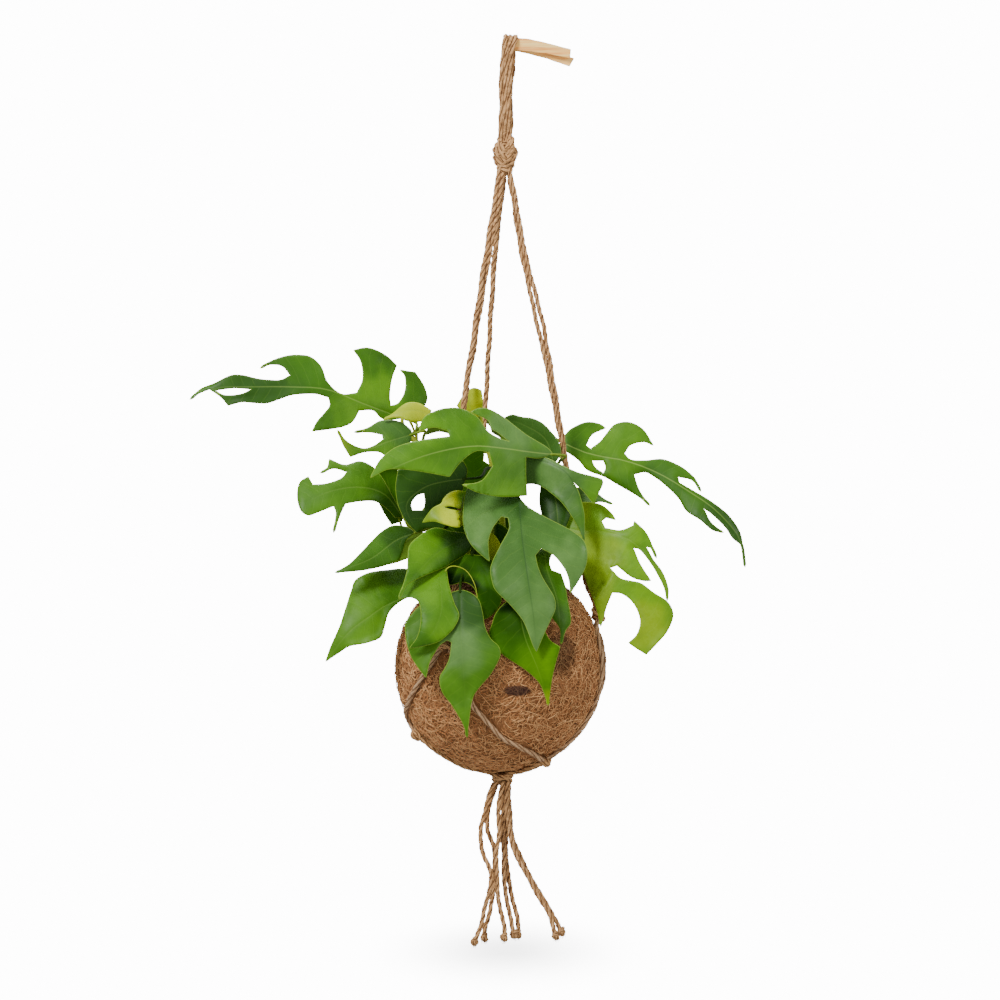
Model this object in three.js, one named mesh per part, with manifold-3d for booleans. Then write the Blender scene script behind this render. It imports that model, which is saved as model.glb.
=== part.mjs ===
// Hanging coir ball plant: a split-leaf climber rooted in a ball of coconut fibre,
// carried by a knotted jute hanger that loops over a short wooden peg.
//
// Millimetres. +X right, +Z up, and the front of the plant faces -Y.
// The origin is the top of the peg, where the loop of the hanger bears on it.

import * as THREE from 'three';
import { mergeVertices } from 'three/addons/utils/BufferGeometryUtils.js';
import Module from 'manifold-3d';

const wasm = await Module();
wasm.setup();

// ---------------------------------------------------------------- driving sizes

const GAP = 0.4;                                  // clearance between touching pieces

const BALL = { x: -6.5, z: -540, radius: 88.5, wall: 8, mouth: 47, flat: 1.5, lump: 0.8, sides: 20 };
const SOIL_TOP = -457;
const CORD = 3.8;                                 // thickness of the jute cord
const BLADE = 1.1;                                // thickness of a leaf
const PETIOLE = 1.5;                              // radius of a leaf stalk
const STEM_FOOT = -488;

// ---------------------------------------------------------------- finishes

const finish = (color, roughness) =>
  new THREE.MeshStandardMaterial({ color, roughness, metalness: 0, side: THREE.DoubleSide });

const JUTE = finish('#b8966e', 0.95);
const WOOD = finish('#f0d2aa', 0.7);
const COIR = finish('#96694a', 1.0);
const SOIL = finish('#3a2a1f', 1.0);
const STALK = finish('#86a838', 0.55);
const LEAF_GREEN = finish('#649632', 0.45);
const LEAF_GREY = finish('#62885a', 0.45);
const LEAF_BRIGHT = finish('#96b428', 0.45);
const LEAF_YOUNG = finish('#b9c850', 0.5);

// ---------------------------------------------------------------- solids

const part = new THREE.Group();

function piece(name, geometry, material) {
  const mesh = new THREE.Mesh(geometry, material);
  mesh.name = name;
  part.add(mesh);
  return mesh;
}

function bare(geometry) {
  const copy = geometry.clone();
  for (const name of Object.keys(copy.attributes)) {
    if (name !== 'position') copy.deleteAttribute(name);
  }
  return mergeVertices(copy, 1e-3);
}

function toSolid(geometry) {
  const merged = bare(geometry);
  return new wasm.Manifold(new wasm.Mesh({
    numProp: 3,
    vertProperties: new Float32Array(merged.attributes.position.array),
    triVerts: new Uint32Array(merged.index.array),
  }));
}

function toGeometry(solid) {
  const mesh = solid.getMesh();
  const geometry = new THREE.BufferGeometry();
  geometry.setAttribute('position', new THREE.BufferAttribute(mesh.vertProperties, 3));
  geometry.setIndex(new THREE.BufferAttribute(mesh.triVerts, 1));
  geometry.computeVertexNormals();
  return geometry;
}

const join = (geometries) =>
  toGeometry(geometries.map(toSolid).reduce((whole, next) => whole.add(next)));

const vector = ([x, y, z]) => new THREE.Vector3(x, y, z);

// A round bar along a curve, closed by flat ends.
function bar(curve, radius, sides, steps) {
  const ring = [];
  for (let i = 0; i < sides; i++) {
    const angle = (2 * Math.PI * i) / sides;
    ring.push(new THREE.Vector2(radius * Math.cos(angle), radius * Math.sin(angle)));
  }
  return bare(new THREE.ExtrudeGeometry(new THREE.Shape(ring), { steps, extrudePath: curve }));
}

const smoothCurve = (points) => new THREE.CatmullRomCurve3(points.map(vector), false, 'centripetal');

const cord = (points, steps, sides = 8) => bar(smoothCurve(points), CORD / 2, sides, steps);

// ---------------------------------------------------------------- wooden peg

// Two slats of split wood, one behind the other: [x, z] of the corners, then front and back y.
const SLATS = {
  peg_front_slat: { corners: [[-8, -2], [-7, 0], [6, 0], [9, 1.4], [20, 0.2], [32, -2.4],
    [54.8, -8.6], [54.2, -16.4], [33, -12.2], [20, -10.8], [7, -9], [-7, -7.5]], front: -6.5, back: -0.4 },
  peg_back_slat: { corners: [[-6, -2], [7, -2.2], [33, -8.4], [57.6, -16.2], [53.8, -23],
    [33, -16.2], [20, -12.6], [7, -9.8], [-5, -8]], front: 0, back: 5.5 },
};

for (const [name, slat] of Object.entries(SLATS)) {
  const shape = new THREE.Shape(slat.corners.map(([x, z]) => new THREE.Vector2(x, z)));
  const block = new THREE.ExtrudeGeometry(shape, { depth: slat.back - slat.front, bevelEnabled: false });
  block.rotateX(Math.PI / 2);
  block.translate(0, slat.back, 0);
  piece(name, bare(block), WOOD);
}

// ---------------------------------------------------------------- hanger: loop and top knot

const TOP_KNOT = {
  at: [-1.5, 0, -98], width: 22, height: 26, sides: 7,
  turns: [[0.35, 0.5, 0.26, 0.86], [-0.3, 0.35, 0.02, 1.04], [0.25, -0.5, -0.24, 0.9], [1.45, 0.5, 0, 0.98]],
};

// The three cords lie side by side over the peg and meet in the knot, front and back.
function loopCord(offset) {
  const top = 0.4 + offset;
  const neck = TOP_KNOT.at[0] - 0.8 + offset;
  const foot = TOP_KNOT.at[0] + offset * 0.8;
  const front = [[foot, -3.2, -87], [neck, -4.6, -77], [neck, -6, -58], [top - 3.5, -7.8, -34],
    [top - 1, -9.2, -12], [top - 0.4, -9.4, -3], [top, -8.8, 2.8], [top, -4.5, 3.8]];
  const back = [[top, 2.5, 3.7], [top, 6.4, 2.4], [top - 0.4, 8.8, -5], [top - 1, 9, -14],
    [top - 3.5, 7.6, -34], [neck, 6, -58], [neck, 4.6, -77], [foot, 3.2, -87]];
  return cord([...front, ...back], 20, 6);
}

// A wound knot: a core with turns of cord lying round it, each turn tipped its own way.
function knot({ at: [x, y, z], width, height, turns, sides = 7 }, grow = 0) {
  const core = new THREE.IcosahedronGeometry(1, 0);
  core.scale(width * 0.36 + grow, width * 0.36 + grow, height * 0.46 + grow);
  const rings = turns.map(([tipX, tipY, rise, size]) => {
    const radius = (width * size) / 2 - CORD * 0.5;
    const ring = new THREE.TorusGeometry(radius, CORD * 0.55 + grow, 5, sides);
    ring.rotateX(tipX);
    ring.rotateY(tipY);
    ring.translate(0, 0, rise * height);
    return ring;
  });
  const whole = join([core, ...rings]);
  whole.translate(x, y, z);
  return whole;
}

// Cords that meet a knot are cut short of it, all round, by the gap; the longest piece stays.
function upTo(knots, geometry) {
  const cut = knots.reduce((rest, bound) => rest.subtract(toSolid(knot(bound, GAP))), toSolid(geometry));
  const pieces = cut.decompose().sort((a, b) => b.volume() - a.volume());
  return toGeometry(pieces[0]);
}

piece('top_knot', knot(TOP_KNOT), JUTE);
piece('hanger_loop', upTo([TOP_KNOT], join([-3.95, 0, 3.95].map(loopCord))), JUTE);

// ---------------------------------------------------------------- hanger: three legs

const FRONT = -1;
const BACK = 1;
const NET_KNOT = { width: 12, height: 16, turns: [[0.5, 0.3, 0.2, 1], [-0.4, 0.2, -0.2, 1]] };
const KNOT_STANDOFF = BALL.radius + BALL.lump + NET_KNOT.width / 2 + GAP;

// The middle of a knot that lies on the ball, x and z away from the middle of the ball.
function knotOnBall(x, z, side) {
  return [BALL.x + x, side * Math.sqrt(KNOT_STANDOFF ** 2 - x ** 2 - z ** 2), BALL.z + z];
}

// Each leg is a pair of cords that runs from the top knot down to a knot on the ball.
const LEGS = {
  leg_front_left: {
    route: [[-5.8, -3.2, -106], [-9, -8, -140], [-16, -18, -181], [-23, -27, -224], [-29.5, -34, -267],
      [-36.5, -38, -310], [-40.5, -44, -385], [-42.5, -46, -440], [-45, -62, -478], [-50, -79, -508]],
    twist: 3.1, spread: 2.3, knot: knotOnBall(-46, 21, FRONT),
  },
  leg_back: {
    route: [[-2.5, 5.2, -106], [-5.5, 9.5, -138], [-10, 19, -181], [-14.5, 27, -245], [-18.5, 40, -311],
      [-26, 58, -400], [-34, 76, -470], [-39, 85, -505]],
    twist: 2.4, spread: 2.3, knot: knotOnBall(-36, 21, BACK),
  },
  leg_right: {
    route: [[3.6, -1.8, -106], [6.4, -2.2, -138], [13.5, -5, -181], [25, -8, -230], [33, -10, -267],
      [41, -12, -310], [48.5, -12, -353], [56, -10, -400], [68, -6, -463], [75.5, -4, -483]],
    twist: 2.7, spread: 2.3, knot: [78.5, -3, -495],
  },
};

// The two cords of a leg wind loosely round each other.
function pair(route, twist, spread, steps) {
  const middle = smoothCurve(route);
  return [0, Math.PI].map((start) => {
    const points = [];
    for (let i = 0; i <= steps; i++) {
      const t = i / steps;
      const angle = start + twist * Math.PI * t;
      const offset = new THREE.Vector3(Math.cos(angle), Math.sin(angle), 0).multiplyScalar(spread);
      points.push(middle.getPointAt(t).add(offset).toArray());
    }
    return cord(points, steps, 6);
  });
}

for (const [name, leg] of Object.entries(LEGS)) {
  const cords = pair([...leg.route, leg.knot], leg.twist, leg.spread, 12);
  leg.bound = { ...NET_KNOT, at: leg.knot };
  piece(name, upTo([TOP_KNOT], join([...cords, knot(leg.bound)])), JUTE);
}

// ---------------------------------------------------------------- hanger: net round the ball

// Routes of the single cords between the knots on the ball, drawn in the front view (x, z).
// Their depth puts them on the skin of the ball, in front of its middle or behind it.
const ON_BALL = BALL.radius + CORD / 2 + BALL.lump;

function onBall([x, z, side = -1]) {
  const dx = x - BALL.x;
  const dz = z - BALL.z;
  const flat = Math.hypot(dx, dz);
  if (flat >= ON_BALL - 0.5) {
    return [BALL.x + (dx * ON_BALL) / flat, side * 4.5, BALL.z + (dz * ON_BALL) / flat];
  }
  return [x, side * Math.sqrt(ON_BALL ** 2 - flat ** 2), z];
}

// A cord's end lies a little inside its knot, on the side that the cord comes from.
const into = (middle, beyond, reach = CORD) =>
  vector(middle).add(vector(beyond).sub(vector(middle)).setLength(reach)).toArray();

const LOWER_KNOT = { width: 11, height: 11 };
const LOWER_KNOTS = {
  lower_knot_left: { ...LOWER_KNOT, at: knotOnBall(-74, -60, FRONT), turns: [[0.4, 0.6, 0, 1]] },
  lower_knot_right: { ...LOWER_KNOT, at: knotOnBall(40, -82, FRONT), turns: [[1.2, 0.4, 0, 1]] },
  lower_knot_back: { ...LOWER_KNOT, at: knotOnBall(38, -73, BACK), turns: [[-1.0, 0.4, 0, 1]] },
};

const NET = {
  net_cord_1: { from: 'leg_front_left', to: 'lower_knot_left',
    route: [[-59, -526], [-66, -539], [-73, -548], [-80, -560], [-84, -569], [-87, -579], [-86, -589]] },
  net_cord_2: { from: 'leg_front_left', to: 'lower_knot_right',
    route: [[-46, -529], [-40, -547], [-29, -571], [-20, -582], [-11, -592], [0, -602], [12, -607.5],
      [23, -614]] },
  net_cord_3: { from: 'leg_right', to: 'lower_knot_right',
    route: [[80, -508], [83, -520], [84.5, -532], [83.5, -545], [81, -560], [76, -578], [68.5, -590],
      [58, -603], [45, -611.5]] },
  net_cord_4: { from: 'leg_right', to: 'lower_knot_back',
    route: [[82, -505, BACK], [86, -520, BACK], [86, -540, BACK], [80, -560, BACK], [68, -582, BACK],
      [54, -598, BACK]] },
  net_cord_5: { from: 'leg_back', to: 'lower_knot_back',
    route: [[-36, -530, BACK], [-24, -552, BACK], [-8, -575, BACK], [10, -594, BACK]] },
  net_cord_6: { from: 'leg_back', to: 'lower_knot_left',
    route: [[-50, -529, BACK], [-62, -545, BACK], [-72, -562, BACK], [-79, -580, BACK]] },
};

for (const [name, { from, to, route }] of Object.entries(NET)) {
  const start = LEGS[from].bound;
  const end = LOWER_KNOTS[to];
  const skin = route.map(onBall);
  const line = [into(start.at, skin[0]), ...skin, into(end.at, skin.at(-1))];
  piece(name, upTo([start, end], cord(line, 10, 6)), JUTE);
}

const BASE_KNOT = {
  at: [-4, 0, -634], width: 20, height: 12, sides: 8,
  turns: [[0.25, 0.2, 0.16, 1], [-0.3, 0.15, -0.2, 0.92], [1.4, 0.3, 0, 0.6]],
};

// Under the ball a pair of cords runs from each lower knot to the knot at the bottom.
function underBall([x, y], share) {
  const px = BASE_KNOT.at[0] + (x - BASE_KNOT.at[0]) * share;
  const py = y * share;
  const reach = Math.hypot(px - BALL.x, py);
  return [px, py, BALL.z - Math.sqrt(ON_BALL ** 2 - reach ** 2)];
}

for (const [name, lower] of Object.entries(LOWER_KNOTS)) {
  const skin = [0.8, 0.6, 0.42, 0.25].map((share) => underBall(lower.at, share));
  const route = [into(lower.at, skin[0], CORD / 4), ...skin, BASE_KNOT.at];
  const along = vector(BASE_KNOT.at).sub(vector(lower.at)).setZ(0).normalize();
  const aside = new THREE.Vector3(-along.y, along.x, 0).multiplyScalar(CORD * 0.54);
  const strands = [-1, 1].map((way) =>
    cord(route.map(([x, y, z]) => [x + way * aside.x, y + way * aside.y, z]), 6, 6));
  piece(name, upTo([BASE_KNOT], join([knot(lower), ...strands])), JUTE);
}

piece('base_knot', knot(BASE_KNOT), JUTE);

// ---------------------------------------------------------------- tassel

// Centre lines of the loose ends below the last knot, and the small knot that ends each.
const TASSEL = {
  tassel_1: [[-9, -4, -637], [-15.5, -7.5, -649], [-19, -9, -666], [-22.5, -8, -677], [-22.5, -8, -688],
    [-20.5, -9, -700], [-13.5, -10, -718], [-16, -10, -735], [-18.5, -9, -744], [-22, -8, -760],
    [-26.5, -7, -772], [-28, -6, -776]],
  tassel_2: [[-8, 4, -637], [-12.5, 5, -651], [-17, 6, -667], [-16.5, 5, -680], [-12.5, 4, -691],
    [-10.5, 4, -706], [-11.5, 4, -728], [-14, 4, -748], [-18.5, 5, -762], [-19.5, 5, -773]],
  tassel_3: [[-4, -6, -638], [-6, -9.5, -652], [-7.5, -9, -668], [-7, -8, -685], [-9, -8, -700],
    [-8.5, -8, -720], [-8, -8, -734], [-5, -9, -750], [-2.5, -9, -764], [-2.5, -9, -772]],
  tassel_4: [[-3, 0.5, -638], [-3, 0.5, -655], [-4, 0, -670], [-4, -0.5, -685], [-2.5, 0, -705],
    [-2.5, 0, -724], [0, 0, -740], [3.5, 0, -758], [6, 0, -770]],
  tassel_5: [[-2, 6, -638], [-2, 8, -660], [-1.5, 9, -680], [-0.5, 8, -700], [1, 7, -720], [4.5, 7, -738],
    [9, 7, -756], [9.5, 8, -770]],
  tassel_6: [[0.5, -5, -638], [0, -7, -654], [1, -8, -670], [4, -8, -690], [10, -7, -705],
    [20, -5, -724], [30, -4, -741], [36, -3, -752], [40, -3, -764], [42, -3, -771]],
  tassel_7: [[2, 3, -638], [4, 5, -657], [8, 5, -684], [15, 4, -702], [24, 3.5, -720], [33, 3, -737],
    [40, 3, -752], [44.5, 3, -762], [47, 3, -768]],
};
const END_KNOT = 3.6;

for (const [name, route] of Object.entries(TASSEL)) {
  const blob = new THREE.IcosahedronGeometry(END_KNOT, 0);
  blob.scale(1, 1, 1.15);
  blob.translate(...route.at(-1));
  piece(name, upTo([BASE_KNOT], join([cord(route, 11, 6), blob])), JUTE);
}

// ---------------------------------------------------------------- coir ball and its soil

// The profile of a ball, as [radius, height] pairs between two angles from the top.
function turned(radius, from, to, rows) {
  const points = [];
  for (let i = 0; i <= rows; i++) {
    const polar = from + ((to - from) * i) / rows;
    points.push([radius * Math.sin(polar), radius * Math.cos(polar)]);
  }
  return points;
}

function lathe(points) {
  const shape = new THREE.LatheGeometry(points.map(([r, z]) => new THREE.Vector2(Math.max(r, 0), z)), BALL.sides);
  shape.rotateX(Math.PI / 2);
  return bare(shape);
}

const mouthAngle = Math.asin(BALL.mouth / BALL.radius);
const innerRadius = BALL.radius - BALL.wall;
const innerMouth = Math.asin((BALL.mouth - 2) / innerRadius);
const rimHeight = BALL.radius * Math.cos(mouthAngle);

const outerSkin = turned(BALL.radius, Math.PI, mouthAngle, 11);
const innerSkin = turned(innerRadius, innerMouth, Math.PI, 8);
const shell = lathe([...outerSkin, [BALL.mouth - 2, rimHeight + 1.5], ...innerSkin]);
const spots = shell.attributes.position;
for (let i = 0; i < spots.count; i++) {
  const p = new THREE.Vector3().fromBufferAttribute(spots, i);
  if (p.length() > BALL.radius - 1) {
    const swell = BALL.lump * (Math.sin(p.x * 0.09 + 1) * Math.cos(p.y * 0.08) + Math.sin(p.z * 0.1 + p.x * 0.05));
    p.setLength(p.length() + swell * 0.5);
    p.z = Math.max(p.z, -BALL.radius + BALL.flat);
    spots.setXYZ(i, p.x, p.y, p.z);
  }
}
shell.translate(BALL.x, 0, BALL.z);
piece('coir_ball', shell, COIR);

// ---------------------------------------------------------------- stems

const STEMS = {
  stem_left: [[-30, -6, STEM_FOOT], [-30, -6, -470], [-30, -6, -452], [-42, -3, -420], [-60, 0, -385],
    [-76, 2, -352], [-84, 2, -338]],
  stem_middle: [[-8, 4, STEM_FOOT], [-8, 4, -470], [-8, 4, -452], [-4, 4, -420], [-8, 3, -385],
    [-16, 2, -355], [-20, 0, -336]],
  stem_right: [[18, -2, STEM_FOOT], [18, -2, -470], [18.5, -2, -452], [29, 2, -420], [36, 6, -390],
    [42, 8, -366]],
  stem_front: [[-10, -24, STEM_FOOT], [-10, -24, -470], [-10, -24.5, -452], [-13, -31, -432],
    [-16, -35, -412]],
  stem_back: [[6, 27, STEM_FOOT], [6, 27, -470], [6, 27.5, -452], [0, 34, -425], [-8, 38, -398],
    [-14, 40, -380]],
};
const STEM_RADIUS = 3;
const STEM_HOLE = 4.2;                            // a stem bends a little before it clears the soil

// The soil fills the shell and has a plain hole where each stem stands.
const soilSkin = turned(innerRadius - GAP - 0.2, Math.PI, innerMouth, 8);
const soilEdge = soilSkin.at(-1);
const crown = SOIL_TOP - BALL.z;
let soil = toSolid(lathe([...soilSkin, [soilEdge[0] * 0.6, crown - 1], [0, crown]]).translate(BALL.x, 0, BALL.z));
for (const route of Object.values(STEMS)) {
  const depth = SOIL_TOP - STEM_FOOT + 12;
  const hole = new THREE.CylinderGeometry(STEM_HOLE, STEM_HOLE, depth, 8);
  hole.rotateX(Math.PI / 2);
  hole.translate(route[0][0], route[0][1], STEM_FOOT - GAP + depth / 2);
  soil = soil.subtract(toSolid(hole));
}
piece('potting_soil', toGeometry(soil), SOIL);

// ---------------------------------------------------------------- leaves

// Outlines are in millimetres in the front view, as "x,z" with ! at a sharp tip or corner.
// rib is the midrib, from the stalk to the tip. Depth (y) follows a formula: it goes from
// base to tip along the rib, bulges by arch between them, and away from the rib it
// changes by tilt (a lean to one side) and fold (both halves alike, + is backwards).
const SHAPES = {
  upper_left: {
    outline: `-272,-310! -263,-301 -251,-296 -236,-289 -227,-289 -214,-292 -194,-293 -186,-289 -193,-281
      -205,-280 -212,-283! -205,-278 -188,-272 -169,-273 -160,-281 -154,-295 -142,-305 -129,-304
      -124,-292 -126,-276 -132,-267! -120,-265 -105,-271 -95,-280! -99,-291 -101,-307 -100,-315 -94,-313
      -88,-303 -88,-289 -92,-284! -79,-286 -71,-299 -69,-310 -78,-322 -92,-326 -107,-326 -115,-319
      -127,-319 -133,-329 -141,-333 -159,-336 -167,-337! -163,-329 -152,-315 -153,-308 -163,-305
      -185,-306 -206,-313 -227,-312 -239,-315! -245,-308 -255,-301`,
    window: '-250,-302! -234,-300 -219,-301! -227,-305 -243,-306',
    rib: '-89,-326 -124,-313 -155,-301 -185,-299 -219,-299 -249,-300 -272,-310',
    base: 2, tip: -30, arch: -8, tilt: -0.35, fold: 0.12,
  },
  upper_right: {
    outline: `50,-340 55,-335 69,-329 81,-331 85,-334! 73,-340 68,-349 72,-352 81,-345 93,-331 105,-329
      117,-335 126,-349! 118,-346 106,-349 101,-356 106,-361 119,-362 134,-361 149,-367 162,-378
      167,-389! 159,-379 147,-376 148,-381 160,-388 175,-397 191,-410 200,-424 204,-454! 201,-435
      194,-429 188,-420 176,-408 169,-403 175,-415 186,-424! 177,-422 166,-413 154,-405 148,-395
      136,-383 119,-372 109,-374 114,-388 123,-401! 113,-393 96,-383 84,-376 69,-370 62,-362 51,-354`,
    window: '73,-362! 83,-362 85,-368 83,-373 76,-368',
    rib: '49,-347 67,-355 84,-359 101,-362 119,-368 136,-376 157,-389 176,-402 192,-418 200,-430 204,-454',
    base: 9, tip: -30, arch: 10, tilt: 0.3, fold: 0.12,
  },
  top_front: {
    outline: `-116,-377! -108,-362 -96,-352 -82,-347 -65,-344 -49,-342 -50,-337 -62,-334 -75,-337!
      -71,-326 -58,-319 -40,-318 -26,-325 -16,-338 -5,-344 2,-346 -8,-338 -13,-335 -16,-328 -31,-321!
      -25,-318 -17,-318 -5,-324 16,-340 34,-351 39,-356 28,-360 16,-359! 16,-376 17,-392! -5,-393
      -26,-389 -38,-383! -22,-380 -12,-367 -15,-355 -26,-354 -39,-363 -49,-376! -65,-373 -85,-370
      -102,-370`,
    rib: '39,-357 20,-355 -2,-352 -28,-350 -66,-357 -116,-377',
    base: -42, tip: -104, arch: -8, tilt: -0.35, fold: 0.18,
  },
  right_front: {
    outline: `13,-358 26,-358 36,-361 46,-366 62,-373 81,-378 82,-381 74,-399! 64,-387 57,-381! 61,-389
      66,-409 66,-431! 60,-418 53,-406 46,-397 38,-390 31,-385 22,-382 9,-384 4,-370`,
    rib: '9,-359 35,-364 51,-373 60,-390 66,-431',
    base: -36, tip: -62, arch: -6, tilt: 0, fold: 0.25,
  },
  centre: {
    outline: `-33,-385 -37,-402 -37,-418 -31,-433 -19,-445 -15,-448! -16,-430 -12,-419 -5,-410 1,-411
      2,-420 -5,-434 -12,-448! -14,-455 -10,-472 1,-483 14,-499 22,-519 25,-525! 33,-506 41,-488
      40,-479 30,-462 24,-443 29,-437 40,-443 50,-456 53,-465 54,-475! 63,-461 68,-448 66,-432
      56,-423 37,-413 18,-402 13,-397 9,-392 -2,-383 -19,-379`,
    rib: '10,-393 13,-430 18,-465 23,-499 25,-525',
    base: -56, tip: -104, arch: -12, tilt: 0.15, fold: 0.1,
  },
  over_ball: {
    outline: `-58,-479 -75,-487 -86,-500! -86,-513 -81,-530 -69,-547! -66,-534 -57,-519 -51,-515 -47,-517
      -49,-531 -57,-547! -55,-559 -47,-570 -37,-587 -34,-598! -32,-579 -28,-561 -15,-545 -6,-528
      -7,-521 -14,-514 -19,-504 -21,-492 -25,-480 -37,-473`,
    rib: '-40,-473 -39,-516 -36,-559 -34,-597',
    base: -88, tip: -100, arch: -8, tilt: -0.1, fold: 0.06,
  },
  left_hook: {
    outline: `-92,-480! -86,-469 -79,-464 -69,-456 -61,-451 -52,-454 -50,-467 -45,-484 -41,-494 -45,-504
      -58,-516 -71,-520 -83,-522! -76,-512 -73,-496 -75,-483 -81,-479`,
    rib: '-59,-450 -56,-473 -57,-495 -66,-512 -83,-522',
    base: -66, tip: -100, arch: -16, tilt: 0, fold: 0.12, inside: 18,
  },
  curled: {
    outline: `-61,-459! -50,-450 -40,-443 -28,-443 -15,-446 -7,-458 -5,-477 -6,-485 -16,-496 -33,-499!
      -28,-496 -25,-485 -28,-471 -36,-466 -50,-468`,
    rib: '-30,-442 -18,-461 -15,-475 -20,-490 -33,-499',
    base: -60, tip: -82, arch: -7, tilt: 0, fold: 0.1,
  },
  low_left: {
    outline: `-155,-534! -151,-522 -143,-504 -133,-473 -130,-465! -120,-459 -101,-456 -84,-456 -77,-465
      -82,-477 -92,-483 -101,-492 -105,-505 -108,-513! -120,-518 -135,-521 -143,-526`,
    rib: '-78,-471 -92,-481 -105,-487 -118,-496 -134,-508 -155,-534',
    base: -34, tip: -52, arch: -12, tilt: -0.3, fold: 0.2,
  },
  front_left: {
    outline: `-92,-480! -85,-456 -83,-435 -75,-427 -62,-420 -47,-423 -35,-425 -29,-430 -32,-439 -45,-448
      -53,-453 -70,-460 -86,-469`,
    rib: '-32,-428 -53,-437 -71,-452 -92,-480',
    base: -53, tip: -98, arch: -3, tilt: 0, fold: 0.16,
  },
  mid_left: {
    outline: `-147,-458! -135,-451 -121,-437 -107,-423 -97,-418 -84,-420 -79,-424 -86,-430 -89,-439
      -92,-447! -105,-452 -124,-456`,
    rib: '-78,-424 -94,-430 -116,-446 -147,-458',
    base: -36, tip: -62, arch: -4, tilt: -0.4, fold: 0.15,
  },
  left_lobed: {
    outline: `-170,-376! -166,-383 -154,-382 -141,-377 -137,-372 -148,-369 -160,-373! -154,-369
      -152,-361! -139,-366 -126,-363 -116,-367 -107,-377 -98,-393 -91,-406 -89,-411! -96,-411
      -102,-404 -113,-397 -126,-397 -138,-399 -141,-405 -148,-424! -146,-406 -148,-401 -163,-407
      -169,-409 -175,-406 -179,-394 -177,-381`,
    rib: '-89,-411 -105,-391 -126,-385 -152,-389 -175,-400',
    base: -30, tip: -66, arch: -6, tilt: -0.45, fold: 0.1,
  },
  upper_twist: {
    outline: `-145,-336! -138,-345 -122,-352 -106,-344 -107,-340 -117,-338 -131,-338! -119,-334
      -108,-328 -92,-329 -82,-336 -83,-346 -92,-355 -103,-359! -109,-355 -122,-355 -134,-359!
      -140,-349`,
    rib: '-82,-340 -102,-346 -122,-353 -135,-350 -145,-336',
    base: -26, tip: -52, arch: 0, tilt: -0.4, fold: 0,
  },
  young_left: {
    outline: '-106,-327! -98,-322 -86,-313 -76,-313 -65,-319 -68,-327 -79,-329 -94,-325',
    rib: '-65,-323 -82,-319 -106,-327',
    base: -18, tip: -30, arch: -3, tilt: -0.5, fold: 0.2,
  },
  young_top: {
    outline: '-43,-315 -40,-310 -35,-303 -28,-300! -22,-302 -21,-311 -22,-320 -28,-328 -35,-324',
    rib: '-28,-328 -32,-314 -28,-300',
    base: -10, tip: -22, arch: -2, tilt: 0.3, fold: 0.3,
  },
  young_front: {
    outline: `-56,-399 -54,-395 -49,-390 -42,-388 -33,-390 -30,-396 -34,-404! -40,-403 -49,-401 -55,-402!
      -49,-404 -35,-407 -32,-411 -36,-416 -42,-419 -55,-416 -62,-414 -72,-415! -68,-409 -63,-403`,
    rib: '-31,-396 -45,-393 -58,-402 -72,-415',
    base: -44, tip: -82, arch: -14, tilt: -0.35, fold: 0.05,
  },
  shade_left: {
    outline: `-93,-370 -95,-383 -93,-400 -87,-413 -77,-424! -68,-420 -58,-423! -49,-414 -43,-404 -40,-393
      -37,-384 -34,-370 -38,-362! -50,-366 -66,-368`,
    window: '-82,-399! -77,-392 -71,-390! -70,-397 -71,-405! -81,-405',
    rib: '-36,-378 -52,-380 -70,-385 -86,-400 -77,-424',
    base: -51, tip: -57, arch: -1, tilt: 0, fold: 0.04,
  },
  shade_middle: {
    outline: `-8,-439 -20,-447 -38,-453! -47,-441 -50,-426 -46,-416! -54,-405 -57,-392 -56,-377 -50,-360!
      -40,-352 -28,-350 -20,-353! -21,-362 -14,-366 -8,-366! 2,-377 8,-390 9,-404! 1,-411 7,-424 5,-436!
      -3,-437`,
    rib: '-8,-439 -16,-422 -25,-400 -30,-351',
    base: 14, tip: 18, arch: 0, tilt: 0, fold: 0.08,
  },
  right_bright: {
    outline: `47,-409 52,-401 66,-398 80,-400 90,-408 93,-413! 85,-411 81,-414 84,-420 97,-422 108,-418
      109,-414! 119,-424 125,-437 128,-446! 123,-437 119,-436 125,-447 133,-458 138,-473 137,-482!
      134,-470 123,-450 113,-438 108,-437 114,-451 123,-465! 117,-465 107,-462 94,-452 88,-454 97,-463
      114,-467 125,-475 138,-484 142,-494 137,-508 119,-528! 108,-521 104,-518! 111,-511 114,-499
      108,-484 98,-476 90,-475 85,-487 80,-504! 77,-490 70,-471 65,-458! 58,-452 47,-439 42,-426`,
    rib: '43,-417 58,-422 81,-423 106,-431 125,-452 137,-482',
    base: -26, tip: -52, arch: -6, tilt: 0.2, fold: 0.1,
  },
  under_centre: {
    outline: `1,-482 -9,-492 -15,-511! -5,-526 14,-539 28,-552 35,-571! 38,-548 41,-535 45,-521! 37,-516
      32,-508 27,-492 18,-482`,
    rib: '9,-480 15,-512 27,-542 35,-571',
    base: -80, tip: -92, arch: -8, tilt: 0, fold: 0.12,
  },
  small_right: {
    outline: `28,-461 22,-452 25,-442 32,-436 39,-440 36,-449! 38,-456 46,-459 51,-479 54,-501 50,-507
      46,-519! 45,-505 38,-495 34,-480`,
    rib: '32,-437 34,-455 43,-482 46,-519',
    base: -62, tip: -80, arch: -6, tilt: 0.3, fold: 0.2,
  },
  shade_right: {
    outline: '29,-384 35,-380 45,-379 53,-385 56,-398 53,-414 45,-429! 37,-423 31,-411 28,-398',
    rib: '39,-380 42,-398 45,-429',
    base: -23, tip: -36, arch: 0, tilt: 0, fold: 0.05,
  },
  behind_top: {
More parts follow.
